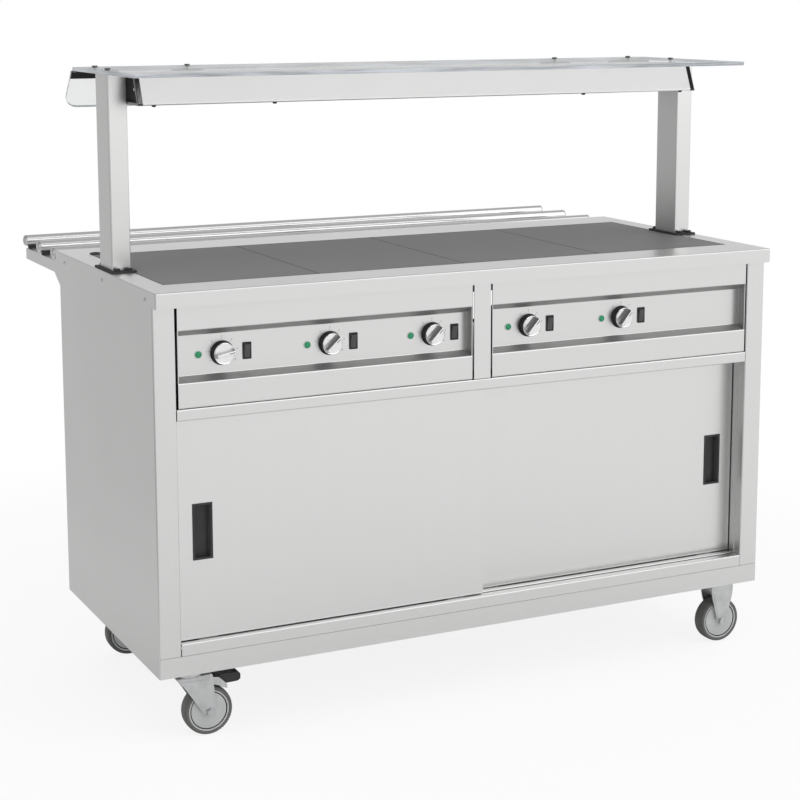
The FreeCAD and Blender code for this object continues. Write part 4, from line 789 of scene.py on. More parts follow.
@dataclass
class Controls:
    """Five sets of a signal lamp, a knob in its collar and a rocker switch."""

    places: tuple[float, ...] = (-602.5, -377.5, -152.5, 71.5, 296.5)
    angles: tuple[float, ...] = (10.0, 42.0, 45.0, 48.0, 50.0)
    face: float = 22.0
    height: float = 770.5
    knob_offset: float = 48.0
    switch_offset: float = 99.0
    knob_radius: float = 22.5
    collar: float = 24.0
    knob_back: float = 19.2
    grip_width: float = 9.6
    tilt: float = 7.0
    ticks: int = 7
    first_tick: float = -120.0
    tick_step: float = 40.0

    def build(self) -> None:
        """Model one of each part and set them along the two fascias."""
        lamp, trim, knob, rocker, dial = self.lamp(), self.trim(), self.knob(), self.rocker(), self.dial()
        start = self.places[0]
        lamps, trims, dials = [], [], []
        for number, (place, angle) in enumerate(zip(self.places, self.angles), start=1):
            move = Matrix.Translation(((place - start) * MM, 0, 0))
            lamps.append(Bench.copy(lamp, f"signal_lamp_{number}", move))
            trims.append(Bench.copy(trim, f"control_trim_{number}", move))
            dials.append(Bench.copy(dial, f"dial_marks_{number}", move))
            spin = Matrix.Rotation(math.radians(-angle), 4, "Y")
            hub = at(place + self.knob_offset, self.knob_back, self.height)
            turned = Matrix.Translation(hub) @ spin @ Matrix.Translation(-hub) @ move
            ride(Bench.copy(knob, f"turned_knob_{number}", turned), f"knob_{number}", "polished_metal",
                 f"knob_{number}")
            ride(Bench.copy(rocker, f"rocker_{number}", move), f"switch_{number}", "gloss_black",
                 f"switch_rocker_{number}")
        for model in (lamp, trim, knob, rocker, dial):
            bpy.data.objects.remove(model)
        ride(Bench.join("signal_lamps", lamps), "cabinet", "green_lens", "pilot_lights")
        ride(Bench.join("control_trims", trims), "cabinet", "gloss_black", "control_bezels")
        ride(Bench.join("dial_marks", dials), "cabinet", "black_plastic")

    def lamp(self) -> bpy.types.Object:
        """A domed green lens in a pale ring."""
        centre = at(self.places[0], self.face, self.height)
        lens = Bench.turned("lens", [(0, 0), (0, 6.5), (-1.6, 6.5), (-2.6, 5.8), (-3.4, 4.4), (-3.9, 2.4),
                                     (-4.1, 0)], centre, Axis.Y, LENS, 40)
        ring = Bench.turned("ring", [(0, 6.4), (0, 7.8), (-0.9, 7.8), (-1.6, 7.5), (-1.8, 7.0), (-1.3, 6.4),
                                     (0, 6.4)], centre, Axis.Y, PALE, 40)
        return Bench.join("signal_lamp", [lens, ring])

    def trim(self) -> bpy.types.Object:
        """The collar behind the knob and the switch's frame, whose mouth goes back to the rocker."""
        start = self.places[0]
        hub = at(start + self.knob_offset, self.face, self.height)
        ring = Bench.turned("collar", [(0, 6), (0, self.collar), (-1.7, self.collar), (-2.5, self.collar - 0.9),
                                       (-2.5, 6), (0, 6)], hub, Axis.Y, GLOSS_BLACK, 64)
        x = start + self.switch_offset
        frame_block = Bench.block("switch_frame", at(x - 9, self.face - 1.5, self.height - 16.75),
                                  at(x + 9, self.face, self.height + 16.75), GLOSS_BLACK)
        Bench.round_edges(frame_block, lambda low, high: abs(high.y - low.y) > 0.5 * MM, 1.8, 4)
        Bench.recess(frame_block, lambda face: face.normal.y < -0.9, 2.4 * MM, Vector((0, 1.3 * MM, 0)))
        return Bench.join("control_trim", [ring, Bench.soften(frame_block, 0.35, 2)])

    def knob(self) -> bpy.types.Object:
        """A black skirt, a bright face with a turned edge, and a bar grip with an inlaid line, whose long sides
        carry painted shade.
        """
        hub = at(self.places[0] + self.knob_offset, self.knob_back, self.height)
        radius = self.knob_radius
        skirt = Bench.turned("skirt", [(0, 0), (0, radius), (-2.4, radius), (-3.2, radius - 0.6),
                                       (-11.4, radius - 1.3), (-12.2, radius - 1.8), (-12.2, 0)],
                             hub, Axis.Y, GLOSS_BLACK, 72)
        face = Bench.turned("face", [(-12.0, 0), (-12.0, radius - 1.5), (-12.9, radius - 1.5),
                                     (-13.6, radius - 2.4), (-13.2, radius - 4.0), (-13.2, 0)],
                            hub, Axis.Y, CHROME, 72)
        x, y, z = self.places[0] + self.knob_offset, self.knob_back, self.height
        reach, half = radius - 2.2, self.grip_width / 2
        grip = Bench.drawn("grip", Axis.Y, [
            (y - 12.6, x - reach, x + reach, z - half, z + half),
            (y - 18.0, x - reach + 0.4, x + reach - 0.4, z - half + 0.5, z + half - 0.5),
            (y - 24.6, x - reach + 1.6, x + reach - 1.6, z - half + 1.5, z + half - 1.5)], CHROME)
        Bench.soften(grip, 1.0, 3)
        # painted shade: the grip bar's long sides are given darker chrome
        GRIP_SIDE_SHADE.paint(grip, lambda face: abs(face.normal.z) > 0.7)
        line = Bench.block("line", at(x + 6, y - 24.72, z - 0.7), at(x + reach - 3.0, y - 24.4, z + 0.7), INK)
        return Bench.join("turned_knob", [skirt, face, grip, Bench.soften(line, 0.1, 2)])

    def rocker(self) -> bpy.types.Object:
        """A rocker with a hollowed face, tilted to its rest."""
        x, z = self.places[0] + self.switch_offset, self.height
        pivot = at(x, self.face + 4.0, z)
        rocker = Bench.block("rocker", at(x - 6, self.face - 3.5, z - 13),
                             at(x + 6, self.face + 3.5, z + 13), ROCKER)
        Bench.split(rocker, pivot, (0, 0, 1))
        Bench.points(rocker, lambda point: abs(point.z - pivot.z) < MM and point.y < pivot.y)
        bpy.ops.transform.translate(value=(0, 1.3 * MM, 0))
        bpy.ops.object.mode_set(mode="OBJECT")
        Bench.soften(rocker, 0.6, 3, 20)
        rocker.data.transform(Matrix.Translation(pivot) @ Matrix.Rotation(math.radians(self.tilt), 4, "X")
                              @ Matrix.Translation(-pivot))
        return rocker

    def dial(self) -> bpy.types.Object:
        """Printed ticks and plain numbers round the knob's travel."""
        hub = at(self.places[0] + self.knob_offset, self.face - 0.06, self.height)
        marks = []
        tick = Bench.drawn("tick", Axis.Y, [(self.face + 0.1, -0.35, 0.35, 26.0, 28.2),
                                            (self.face - 0.1, -0.3, 0.3, 26.1, 28.1)], INK)
        for step in range(self.ticks):
            angle = math.radians(self.first_tick + self.tick_step * step)
            turn = Matrix.Translation((hub.x, 0, hub.z)) @ Matrix.Rotation(angle, 4, "Y")
            marks.append(Bench.copy(tick, f"tick_{step}", turn))
            if step:
                way = Vector((math.sin(angle), 0, math.cos(angle)))
                marks.append(self.numeral(str(step), hub + way * 31.5 * MM))
        bpy.data.objects.remove(tick)
        return Bench.join("dial_mark", marks)

    @staticmethod
    def numeral(text: str, place: Vector) -> bpy.types.Object:
        """One plain number, made a mesh that stands on the fascia."""
        Bench.clear()
        bpy.ops.object.text_add(location=(0, 0, 0))
        letter = bpy.context.active_object
        letter.data.body = text
        letter.data.size = 4.4 * MM
        letter.data.extrude = 0.08 * MM
        letter.data.align_x = "CENTER"
        letter.data.align_y = "CENTER"
        bpy.ops.object.convert(target="MESH")
        letter = bpy.context.active_object
        letter.matrix_world = Matrix.Translation(place) @ Matrix.Rotation(math.radians(90), 4, "X")
        return Bench.settle("numeral_" + text, INK)


@dataclass
class DoorHandle:
    """A flush moulded cup with a flat frame, let into one sliding door."""

    side: str
    x: float
    setback: float
    width: float = 41.0
    height: float = 112.0
    middle: float = 426.0
    depth: float = 13.2

    def build(self) -> None:
        """Draw the body, flare its mouth into a frame, push the cup in, and paint a sheen of light on its inner
        side walls.
        """
        half_w, half_h = self.width / 2, self.height / 2
        x, y, z = self.x, self.setback, self.middle
        cup = Bench.drawn(f"door_cup_{self.side}", Axis.Y, [
            (y + 14.9, x - half_w + 3.2, x + half_w - 3.2, z - half_h + 3.2, z + half_h - 3.2),
            (y, x - half_w + 3.2, x + half_w - 3.2, z - half_h + 3.2, z + half_h - 3.2),
            (y - 0.02, x - half_w, x + half_w, z - half_h, z + half_h),
            (y - 1.5, x - half_w, x + half_w, z - half_h, z + half_h)], BLACK)
        Bench.recess(cup, lambda face: face.normal.y < -0.9 and face.calc_area() > 0.003, 4.6 * MM,
                     Vector((0, self.depth * MM, 0)))
        Bench.soften(cup, 0.9, 3)
        # painted light: the cup's inner side walls get a lighter, glossier black
        CUP_SIDE_SHEEN.paint(cup, lambda face: abs(face.normal.x) > 0.7 and face.center.y > at(0, y + 0.6, 0).y
                   and abs(face.center.x - x * MM) < (half_w - 4) * MM)
        ride(cup, f"door_{self.side}", "black_plastic", f"door_handle_{self.side}")


@dataclass
class Glazing:
    """The flat shelf over the gantry, the leaning screen, and the caps of the studs that hold them."""

    half: float = 697.0
    front: float = 85.0
    back: float = 496.0
    under: float = 1292.0
    thick: float = 8.0
    screen_top: tuple[float, float] = (498.0, 1289.0)
    screen_foot: tuple[float, float] = (560.0, 1213.0)
    screen_thick: float = 6.0
    corner: float = 30.0
    studs: tuple[tuple[float, float], ...] = (
        (-670, 334), (670, 334), (-651, 484), (-450, 484), (450, 484), (651, 484))

    def build(self) -> None:
        """Make both panes and one cap for each stud."""
        shelf = Bench.block("shelf_pane", at(-self.half, self.front, self.under),
                            at(self.half, self.back, self.under + self.thick), GLASS)
        Bench.round_edges(shelf, lambda low, high: abs(high.z - low.z) > MM, 6.0, 5)
        Bench.soften(shelf, 0.9, 2)
        EDGE.paint(shelf, lambda face: abs(face.normal.z) < 0.9)
        ride(shelf, "cabinet", "clear_glass", "glass_shelf")
        ride(self.screen(), "cabinet", "clear_glass", "sneeze_screen")
        cap = self.cap()
        caps = [Bench.copy(cap, f"cap_{number}", Matrix.Translation(((x - self.studs[0][0]) * MM,
                                                                     (y - self.studs[0][1]) * MM, 0)))
                for number, (x, y) in enumerate(self.studs)]
        bpy.data.objects.remove(cap)
        ride(Bench.join("stud_caps", caps), "cabinet", "zinc_steel")

    def screen(self) -> bpy.types.Object:
        """The leaning pane, with its two lower corners rounded."""
        (y0, z0), (y1, z1) = self.screen_top, self.screen_foot
        length = math.hypot(y1 - y0, z1 - z0)
        pane = Bench.block("screen_pane", Vector((-self.half * MM, 0, -length * MM)),
                           Vector((self.half * MM, self.screen_thick * MM, 0)), GLASS)
        Bench.round_edges(pane, lambda low, high: abs(high.y - low.y) > MM and high.z < -0.01, self.corner, 10)
        Bench.soften(pane, 0.8, 2)
        EDGE.paint(pane, lambda face: abs(face.normal.y) < 0.9)
        lean = math.atan2(y1 - y0, z0 - z1)
        pane.data.transform(Matrix.Translation(at(0, y0, z0)) @ Matrix.Rotation(lean, 4, "X"))
        return pane

    def cap(self) -> bpy.types.Object:
        """A low turned cap with a dimple."""
        top = self.under + self.thick
        x, y = self.studs[0]
        return Bench.turned("cap", [(top, 0), (top, 6.0), (top + 1.4, 6.0), (top + 2.3, 5.2), (top + 2.45, 2.2),
                                    (top + 1.7, 1.6), (top + 1.7, 0)], at(x, y, 0), Axis.Z, CAPS, 32)


@dataclass
class Gantry:
    """The beam's end plugs and small fixings, and the lamps under it."""

    beam_half: float = 650.0
    middle: float = 314.0
    top: float = 1292.0
    bottom: float = 1233.0
    half_top: float = 83.0
    half_bottom: float = 108.0
    lip_screws: tuple[float, ...] = (-616.0, -362.0, 362.0, 614.0)
    lamp_pitch: float = 324.0
    lamp_height: float = 1260.5

    def build(self) -> None:
        """Make one end plug and turn it round for the other end; add screws and lamps."""
        plug = self.plug()
        about = Matrix.Translation((0, 2 * at(0, self.middle, 0).y, 0)) @ Matrix.Rotation(math.pi, 4, "Z")
        other = Bench.copy(plug, "beam_plug_right", about)
        ride(plug, "cabinet", "dark_steel", "beam_end_caps")
        ride(other, "cabinet", "dark_steel", "beam_end_caps")
        foot = self.bottom
        profile = [(foot, 0), (foot, 4.6), (foot - 1.6, 4.4), (foot - 3.0, 2.8), (foot - 3.2, 0)]
        screws = [Bench.turned(f"lip_{number}", profile, at(x, self.middle - self.half_bottom + 6, 0),
                               Axis.Z, BLACK, 24) for number, x in enumerate(self.lip_screws)]
        ride(Bench.join("lip_screws", screws), "cabinet", "dark_steel")
        ride(self.lamps(), "cabinet", "quartz", "heat_lamps")

    def plug(self) -> bpy.types.Object:
        """A moulded plug: a tapered block, flared to the beam's outline, with a sunk face and two screws; the
        rim is dark grey and the sunk face stays black as painted shade.
        """
        mid, low, high = self.middle, self.bottom, self.top
        slope = (self.half_bottom - self.half_top) / (high - low)
        block = Bench.block("beam_plug_left", at(-self.beam_half, mid - self.half_bottom, low),
                            at(-self.beam_half + 11, mid + self.half_bottom, high), BLACK)
        Bench.carve(block, [(at(0, mid + self.half_top, high), Vector((0, 1, slope)).normalized()),
                            (at(0, mid - self.half_top, high), Vector((0, -1, slope)).normalized())])
        Bench.recess(block, lambda face: face.normal.x < -0.9, 5.0 * MM, Vector((8.0 * MM, 0, 0)))
        Bench.soften(block, 0.5, 2)
        flange = (-self.beam_half + 1) * MM
        # painted shade: only the outer rim gets the plug's dark grey, the sunk face stays black
        FLANGE.paint(block, lambda face: face.normal.x < -0.9 and face.center.x < flange)
        screws = [Bench.turned(f"plug_screw_{number}", [(0, 0), (0, 4.0), (-1.4, 3.6), (-2.0, 2.0), (-2.0, 0)],
                               at(-self.beam_half + 8.0, mid + offset, low + 30), Axis.X, CHROME, 20)
                  for number, offset in enumerate((-62, 62))]
        return Bench.join("beam_plug_left", [block] + screws)

    def lamps(self) -> bpy.types.Object:
        """Quartz tubes with ceramic ends in bent holders."""
        start = -1.5 * self.lamp_pitch
        half = (self.lamp_pitch - 74) / 2
        tube = Bench.turned("quartz", [(-half, 0), (-half, 4.0), (-half + 2, 5.0), (half - 2, 5.0), (half, 4.0),
                                       (half, 0)], at(start, self.middle, self.lamp_height), Axis.X, QUARTZ, 32)
        ends = []
        for sign in (-1, 1):
            x = start + sign * (half + 11)
            end = Bench.block(f"holder_{sign}", at(x - 11, self.middle - 11, self.lamp_height - 11),
                              at(x + 11, self.middle + 11, 1290.5), CERAMIC)
            ends.append(Bench.soften(end, 2.0, 3))
        lamp = Bench.join("lamp", [tube] + ends)
        pitch = self.lamp_pitch * MM
        lamps = [lamp] + [Bench.copy(lamp, f"lamp_{step}", Matrix.Translation((step * pitch, 0, 0)))
                          for step in range(1, 4)]
        return Bench.join("quartz_lamps", lamps)


@dataclass
class CounterDetail:
    """The black seal round the tiles, and the grommet and gland."""

    half: float = 650.0
    front: float = 79.0
    back: float = 542.0
    top: float = 900.0
    seams: tuple[float, ...] = (-325.0, 0.0, 325.0)
    grommet: Point = (-638.0, 558.0, 0.0)
    gland: Point = (-610.0, 622.5, 246.0)

    def build(self) -> None:
        """Lay the seal strips and turn the grommet and the gland."""
        middle = (self.front + self.back) / 2
        across = self.strip("seal_across", (0, middle), (1.9, self.back - self.front))
        strips = [Bench.copy(across, f"seal_{number}", Matrix.Translation((x * MM, 0, 0)))
                  for number, x in enumerate(self.seams)]
        bpy.data.objects.remove(across)
        for number, x in enumerate((-self.half, self.half)):
            strips.append(self.strip(f"seal_end_{number}", (x, middle), (2.2, self.back - self.front + 2)))
        for number, y in enumerate((self.front, self.back)):
            strips.append(self.strip(f"seal_long_{number}", (0, y), (2 * self.half + 2, 2.2)))
        ride(Bench.join("tile_seal", strips), "cabinet", "black_plastic")
        grommet = Bench.turned("wire_grommet", [
            (892, 0), (892, 9), (900, 9), (900, 13), (901.8, 12.6), (902.8, 11), (903, 7), (902.2, 5.5),
            (897, 5.2), (897, 0)], at(*self.grommet), Axis.Z, BLACK, 40)
        gland = Bench.turned("inlet_gland", [
            (-8, 0), (-8, 7.2), (0, 7.2), (0, 12), (6, 12), (6.6, 9.9), (17, 9.2), (21, 7), (22, 5.4),
            (22, 4.3), (14, 4.2), (14, 0)], at(*self.gland), Axis.Y, BLACK, 6)
        ride(grommet, "cabinet", "black_plastic", "cable_glands")
        ride(Bench.soften(gland, 0.5, 2), "cabinet", "black_plastic", "cable_glands")

    def strip(self, name: str, centre: tuple[float, float], size: tuple[float, float]) -> bpy.types.Object:
        """One bead of seal that stands a hair over the tiles."""
        (x, y), (w, d) = centre, size
        bead = Bench.drawn(name, Axis.Z, [
            (self.top - 4, x - w / 2, x + w / 2, y - d / 2, y + d / 2),
            (self.top - 0.1, x - w / 2, x + w / 2, y - d / 2, y + d / 2),
            (self.top + 0.25, x - w / 2 + 0.3, x + w / 2 - 0.3, y - d / 2 + 0.3, y + d / 2 - 0.3)], GASKET)
        return Bench.smooth(bead, 60)


@dataclass
class Fixings:
    """Bolts and screws, each kind modelled once and copied to its places."""

    post_x: float = 670.0
    post_y: float = 314.0
    plate_top: float = 904.0
    brackets: tuple[float, ...] = (-669.0, 0.0, 669.0)
    castors: tuple[tuple[float, float], ...] = ((-624, 58), (-624, 566), (637, 58), (637, 566))
    castor_bolts: tuple[tuple[float, float], ...] = ((-40, -30), (-40, 30), (40, -30), (40, 30))
    plate_under: float = 143.0
    plate_over: float = 149.0
    edge: float = 700.0
    edge_height: float = 881.0
    edge_places: tuple[float, ...] = (40.0, 312.0, 584.0)

    def build(self) -> None:
        """Make every group; together they stand for the frame's fasteners."""
        self.group("post_bolts", self.bolt("post_bolt", Axis.Z, 6.3, 5.2, 1, BLACK), [
            (sign * self.post_x + side * 12, self.post_y + end * 49, self.plate_top)
            for sign in (-1, 1) for side in (-1, 1) for end in (-1, 1)])
        for name, way, level in (("castor_bolt", -1, self.plate_under), ("castor_nut", 1, self.plate_over)):
            self.group(name + "s", self.bolt(name, Axis.Z, 6.5, 5.0, way, ZINC), [
                (x + dx, y + dy, level) for x, y in self.castors for dx, dy in self.castor_bolts])
        self.group("bracket_bolts", self.bolt("bracket_bolt", Axis.Y, 6.5, 5.0, 1, ZINC), [
            (x + 4, 626.5, z) for x in self.brackets for z in (850.0, 807.0)])
        for side, sign in (("left", -1), ("right", 1)):
            self.group(f"edge_screws_{side}", self.screw(sign), [
                (sign * self.edge, y, self.edge_height) for y in self.edge_places])

    @staticmethod
    def bolt(name: str, axis: Axis, radius: float, height: float, way: int, finish: Finish) -> bpy.types.Object:
        """A hexagon head with chamfered corners on a thin washer, at the frame's origin.

        Args:
            name: its name.
            axis: the way it points.
            radius: over its corners, in millimetres.
            height: of the head.
            way: 1 to point along the axis, -1 against it.
            finish: its finish.

        Returns:
            The bolt.
        """
        washer = Bench.turned(name + "_washer", [
            (0, 0), (0, radius + 1.2), (way * 0.8, radius + 1.2), (way * 1.0, 0)], Vector(), axis, finish, 28)
        head = Bench.turned(name, [
            (0, 0), (0, radius), (way * (height - 0.9), radius), (way * height, radius * 0.87),
            (way * height, radius * 0.5), (way * (height - 0.5), 0)], Vector(), axis, finish, 6)
        return Bench.join(name, [head, washer])

    @staticmethod
    def screw(way: int) -> bpy.types.Object:
        """A low pan head with a driver socket."""
        return Bench.turned("edge_screw", [
            (0, 0), (0, 4.0), (way * 0.9, 3.8), (way * 1.55, 2.6), (way * 1.55, 1.5), (way * 0.5, 1.3),
            (way * 0.5, 0)], Vector(), Axis.X, CAPS, 28)

    @staticmethod
    def group(name: str, model: bpy.types.Object, places: Sequence[Point]) -> None:
        """Copy a model to its places, join the copies and fasten them to the cabinet."""
        copies = [Bench.copy(model, f"{name}_{number}", Matrix.Translation(at(*place)))
                  for number, place in enumerate(places)]
        bpy.data.objects.remove(model)
        ride(Bench.join(name, copies), "cabinet", "zinc_steel", "fasteners")


class CastorKind(Enum):
    """How a castor is made."""

    SWIVEL = "castor"
    FIXED = "cabinet"


@dataclass
class Castor:
    """A zinc fork with a nylon-hubbed rubber-tyred wheel, and on a swivelling one a brake."""

    place: str
    kind: CastorKind
    x: float
    y: float
    trail: float
    leg_inner: float = 19.0
    sheet: float = 3.0
    axle: float = 50.0
    tread_steps: int = 112

    def build(self) -> None:
        """Make the wheel, the fork and, where there is one, the brake."""
        wheel_body = f"wheel_{self.place}"
        ride(self.hub(), wheel_body, "grey_nylon", f"castor_wheel_{self.place}")
        ride(self.tyre(), wheel_body, "grey_tyre", f"castor_tyre_{self.place}")
        swivels = self.kind is CastorKind.SWIVEL
        fork = self.swivel_fork() if swivels else self.fixed_fork()
        ride(fork, f"castor_{self.place}" if swivels else "cabinet", "zinc_steel", f"castor_fork_{self.place}")
        if swivels:
            ride(self.brake(), f"brake_{self.place}", "black_plastic", f"brake_pedal_{self.place}")

    def hub(self) -> bpy.types.Object:
        """A dished disc with a boss, a deep ring groove blackened as painted shade, and a raised lip."""
        side = [(18.0, 5.1), (18.0, 10.2), (17.2, 11.0), (14.0, 12.0), (13.2, 14.0), (13.4, 35.2), (12.8, 36.6),
                (8.5, 37.0), (8.5, 38.2), (13.6, 38.6), (14.5, 39.4), (14.5, 41.2), (13.9, 42.0)]
        profile = side + [(-along, radius) for along, radius in reversed(side)] + side[:1]
        centre = at(self.x + self.trail, self.y, self.axle)
        hub = Bench.turned(f"wheel_hub_{self.place}", profile, centre, Axis.Y, HUB, 72)

        def groove(face: bpy.types.MeshPolygon) -> bool:
            """The ring groove's floor and walls, which take black as painted shade."""
            spot = face.center - centre
            return 36.5 * MM < math.hypot(spot.x, spot.z) < 38.7 * MM and abs(spot.y) < 13.5 * MM

        # painted shade: the grey hub's ring groove is given black
        GASKET.paint(hub, groove)
        return hub

    def tyre(self) -> bpy.types.Object:
        """A crowned tread whose shoulders carry fine cross ribs."""
        half = [(13.6, 42.05), (15.0, 42.6), (15.5, 44.5), (15.4, 46.6), (14.3, 48.4), (11.0, 49.4),
                (6.0, 49.9)]
        profile = half + [(0.0, 50.0)] + [(-along, radius) for along, radius in reversed(half)] + half[:1]
        centre = at(self.x + self.trail, self.y, self.axle)
        tyre = Bench.turned(f"tyre_{self.place}", profile, centre, Axis.Y, TYRE, self.tread_steps)

        def rib(face: bmesh.types.BMFace) -> bool:
            """Every second quad of the shoulders."""
            spot = face.calc_center_median() - centre
            step = int((math.atan2(spot.z, spot.x) + math.pi) / (2 * math.pi) * self.tread_steps)
            return step % 2 == 0 and 46.9 * MM < math.hypot(spot.x, spot.z) < 49.2 * MM

        Bench.faces(tyre, rib)
        bpy.ops.mesh.extrude_region_shrink_fatten(TRANSFORM_OT_shrink_fatten={"value": -0.7 * MM})
        bpy.ops.object.mode_set(mode="OBJECT")
        return Bench.smooth(tyre, 40)

    def leg(self, sections: Sequence[tuple[float, float, float]], y0: float, way: int) -> bpy.types.Object:
        """One pressed leg: a plate drawn down through its widths, with a raised panel.

        Args:
            sections: (height, low x, high x) from the top, x from the swivel axis.
            y0: the leg's inner face from the castor's middle.
            way: -1 for the leg on the operator's side, 1 for the other.

        Returns:
            The leg.
        """
        near, far = sorted((y0 * way, (y0 + self.sheet) * way))
        drawn = [(z, self.x + low, self.x + high, self.y + near, self.y + far) for z, low, high in sections]
        leg = Bench.drawn("leg", Axis.Z, drawn, ZINC)

        def panel(face: bmesh.types.BMFace) -> bool:
            """The outer face between the rounded foot and the crown."""
            return face.normal.y * way > 0.9 and 54 * MM < face.calc_center_median().z < 122 * MM

        Bench.recess(leg, panel, 4.0 * MM, Vector((0, way * 1.0 * MM, 0)), 1.0 * MM, even=False)
        return Bench.soften(leg, 0.8, 2)

    def axle_bolt(self, way: int, sides: int) -> bpy.types.Object:
        """The axle's head outside a leg, hexagonal or round."""
        out = (self.leg_inner + self.sheet) * way
        centre = at(self.x + self.trail, self.y + out, self.axle)
        washer = Bench.turned("axle_washer", [(0, 0), (0, 9.6), (way * 1.1, 9.2), (way * 1.3, 0)],
                              centre, Axis.Y, ZINC, 36)
        head = Bench.turned("axle_head", [
            (0, 0), (0, 8.0), (way * 4.6, 8.0), (way * 5.6, 6.9), (way * 5.6, 4.4), (way * 5.0, 3.8),
            (way * 5.0, 0)], centre, Axis.Y, ZINC, sides)
        return Bench.join("axle_end", [head, washer])

    def swivel_fork(self) -> bpy.types.Object:
        """A dished race housing, a crown and two trailing legs."""
        sections = [(126.0, -28, 44), (121.0, -26, 44.5), (115.0, -21, 45), (107.0, -14.5, 46), (98.0, -8, 47),
                    (80.0, 3.6, 48.6), (60.0, 16.4, 50.4), (53.0, 21.0, 50.8), (47.5, 25.4, 49.6),
                    (43.6, 30.0, 46.6), (41.8, 34.0, 43.0)]
        legs = [self.leg(sections, self.leg_inner, way) for way in (-1, 1)]
        crown = Bench.block("crown", at(self.x - 30, self.y - 22, 123.6),
                            at(self.x + 44, self.y + 22, 127.7), ZINC)
        Bench.soften(crown, 1.9, 3)
        dish = Bench.turned("race_housing", [
            (126.5, 0), (126.5, 26.0), (128.0, 28.6), (131.0, 30.0), (134.0, 29.6), (136.4, 27.6),
            (137.6, 24.5), (137.6, 0)], at(self.x, self.y, 0), Axis.Z, ZINC, 56)
        pin = Bench.turned("kingpin", [(118.5, 0), (118.5, 9.0), (119.6, 10.0), (124.0, 10.0), (124.0, 0)],
                           at(self.x, self.y, 0), Axis.Z, ZINC, 6)
        bolts = [self.axle_bolt(way, 6) for way in (-1, 1)]
        return Bench.join(f"fork_{self.place}", legs + [crown, dish, pin] + bolts)

    def fixed_fork(self) -> bpy.types.Object:
        """A bolted plate with two egg-shaped legs."""
        sections = [(143.0, -27, 27), (134.0, -28, 28), (124.0, -28.6, 28.6), (112.0, -27.6, 27.6),
                    (100.0, -25.0, 25.0), (84.0, -20.6, 20.6), (66.0, -15.4, 15.4), (52.0, -12.6, 12.6),
                    (46.0, -10.8, 10.8), (42.2, -7.4, 7.4), (41.2, -4.0, 4.0)]
        legs = [self.leg(sections, self.leg_inner, way) for way in (-1, 1)]
        plate = Bench.block("plate", at(self.x - 50, self.y - 42.5, 143),
                            at(self.x + 50, self.y + 42.5, 146), ZINC)
        Bench.round_edges(plate, lambda low, high: abs(high.z - low.z) > MM, 6.0, 4)
        Bench.soften(plate, 0.6, 2)
        bolts = [self.axle_bolt(way, 40) for way in (-1, 1)]
        return Bench.join(f"fork_{self.place}", legs + [plate] + bolts)

    def brake(self) -> bpy.types.Object:
        """A ribbed shoe on two zinc arms, turning on the pin in the fork."""
        x, y = self.x, self.y
        shoe = Bench.drawn("shoe", Axis.X, [
            (x + 52.0, y - 12, y + 12, 105, 117), (x + 62.0, y - 14.4, y + 14.4, 102, 120.5),
            (x + 72.0, y - 15, y + 15, 101.0, 121.3), (x + 98.0, y - 15, y + 15, 101.6, 120.2),
            (x + 104.6, y - 14, y + 14, 104, 117), (x + 106.0, y - 12.5, y + 12.5, 106.5, 114)], BLACK)
        Bench.soften(shoe, 2.6, 4, 20)
        ribs = [Bench.soften(Bench.block(f"rib_{step}", at(x + 70 + 5.5 * step, y - 13, 118), at(
            x + 72.6 + 5.5 * step, y + 13, 122.0 - 0.1 * step), BLACK), 0.7, 2) for step in range(6)]
        arms = []
        for way in (-1, 1):
            near, far = sorted((16.2 * way, 18.2 * way))
            arm = Bench.drawn("arm", Axis.X, [
                (x + 30.0, y + near, y + far, 107, 118), (x + 46.0, y + near, y + far, 104, 119),
                (x + 58.0, y + near, y + far, 100, 117), (x + 68.0, y + near, y + far, 94, 108),
                (x + 76.0, y + near, y + far, 92, 99)], ZINC)
            arms.append(Bench.soften(arm, 0.7, 2))
        pin = Bench.turned("pin", [
            (-22.4, 0), (-22.4, 3.4), (-21.6, 4.2), (-19.0, 4.2), (-19.0, 3.0), (19.0, 3.0), (19.0, 4.2),
            (21.6, 4.2), (22.4, 3.4), (22.4, 0)], at(x + 36, y, 112.5), Axis.Y, ZINC, 28)
        return Bench.join(f"brake_{self.place}", [shoe] + ribs + arms + [pin])


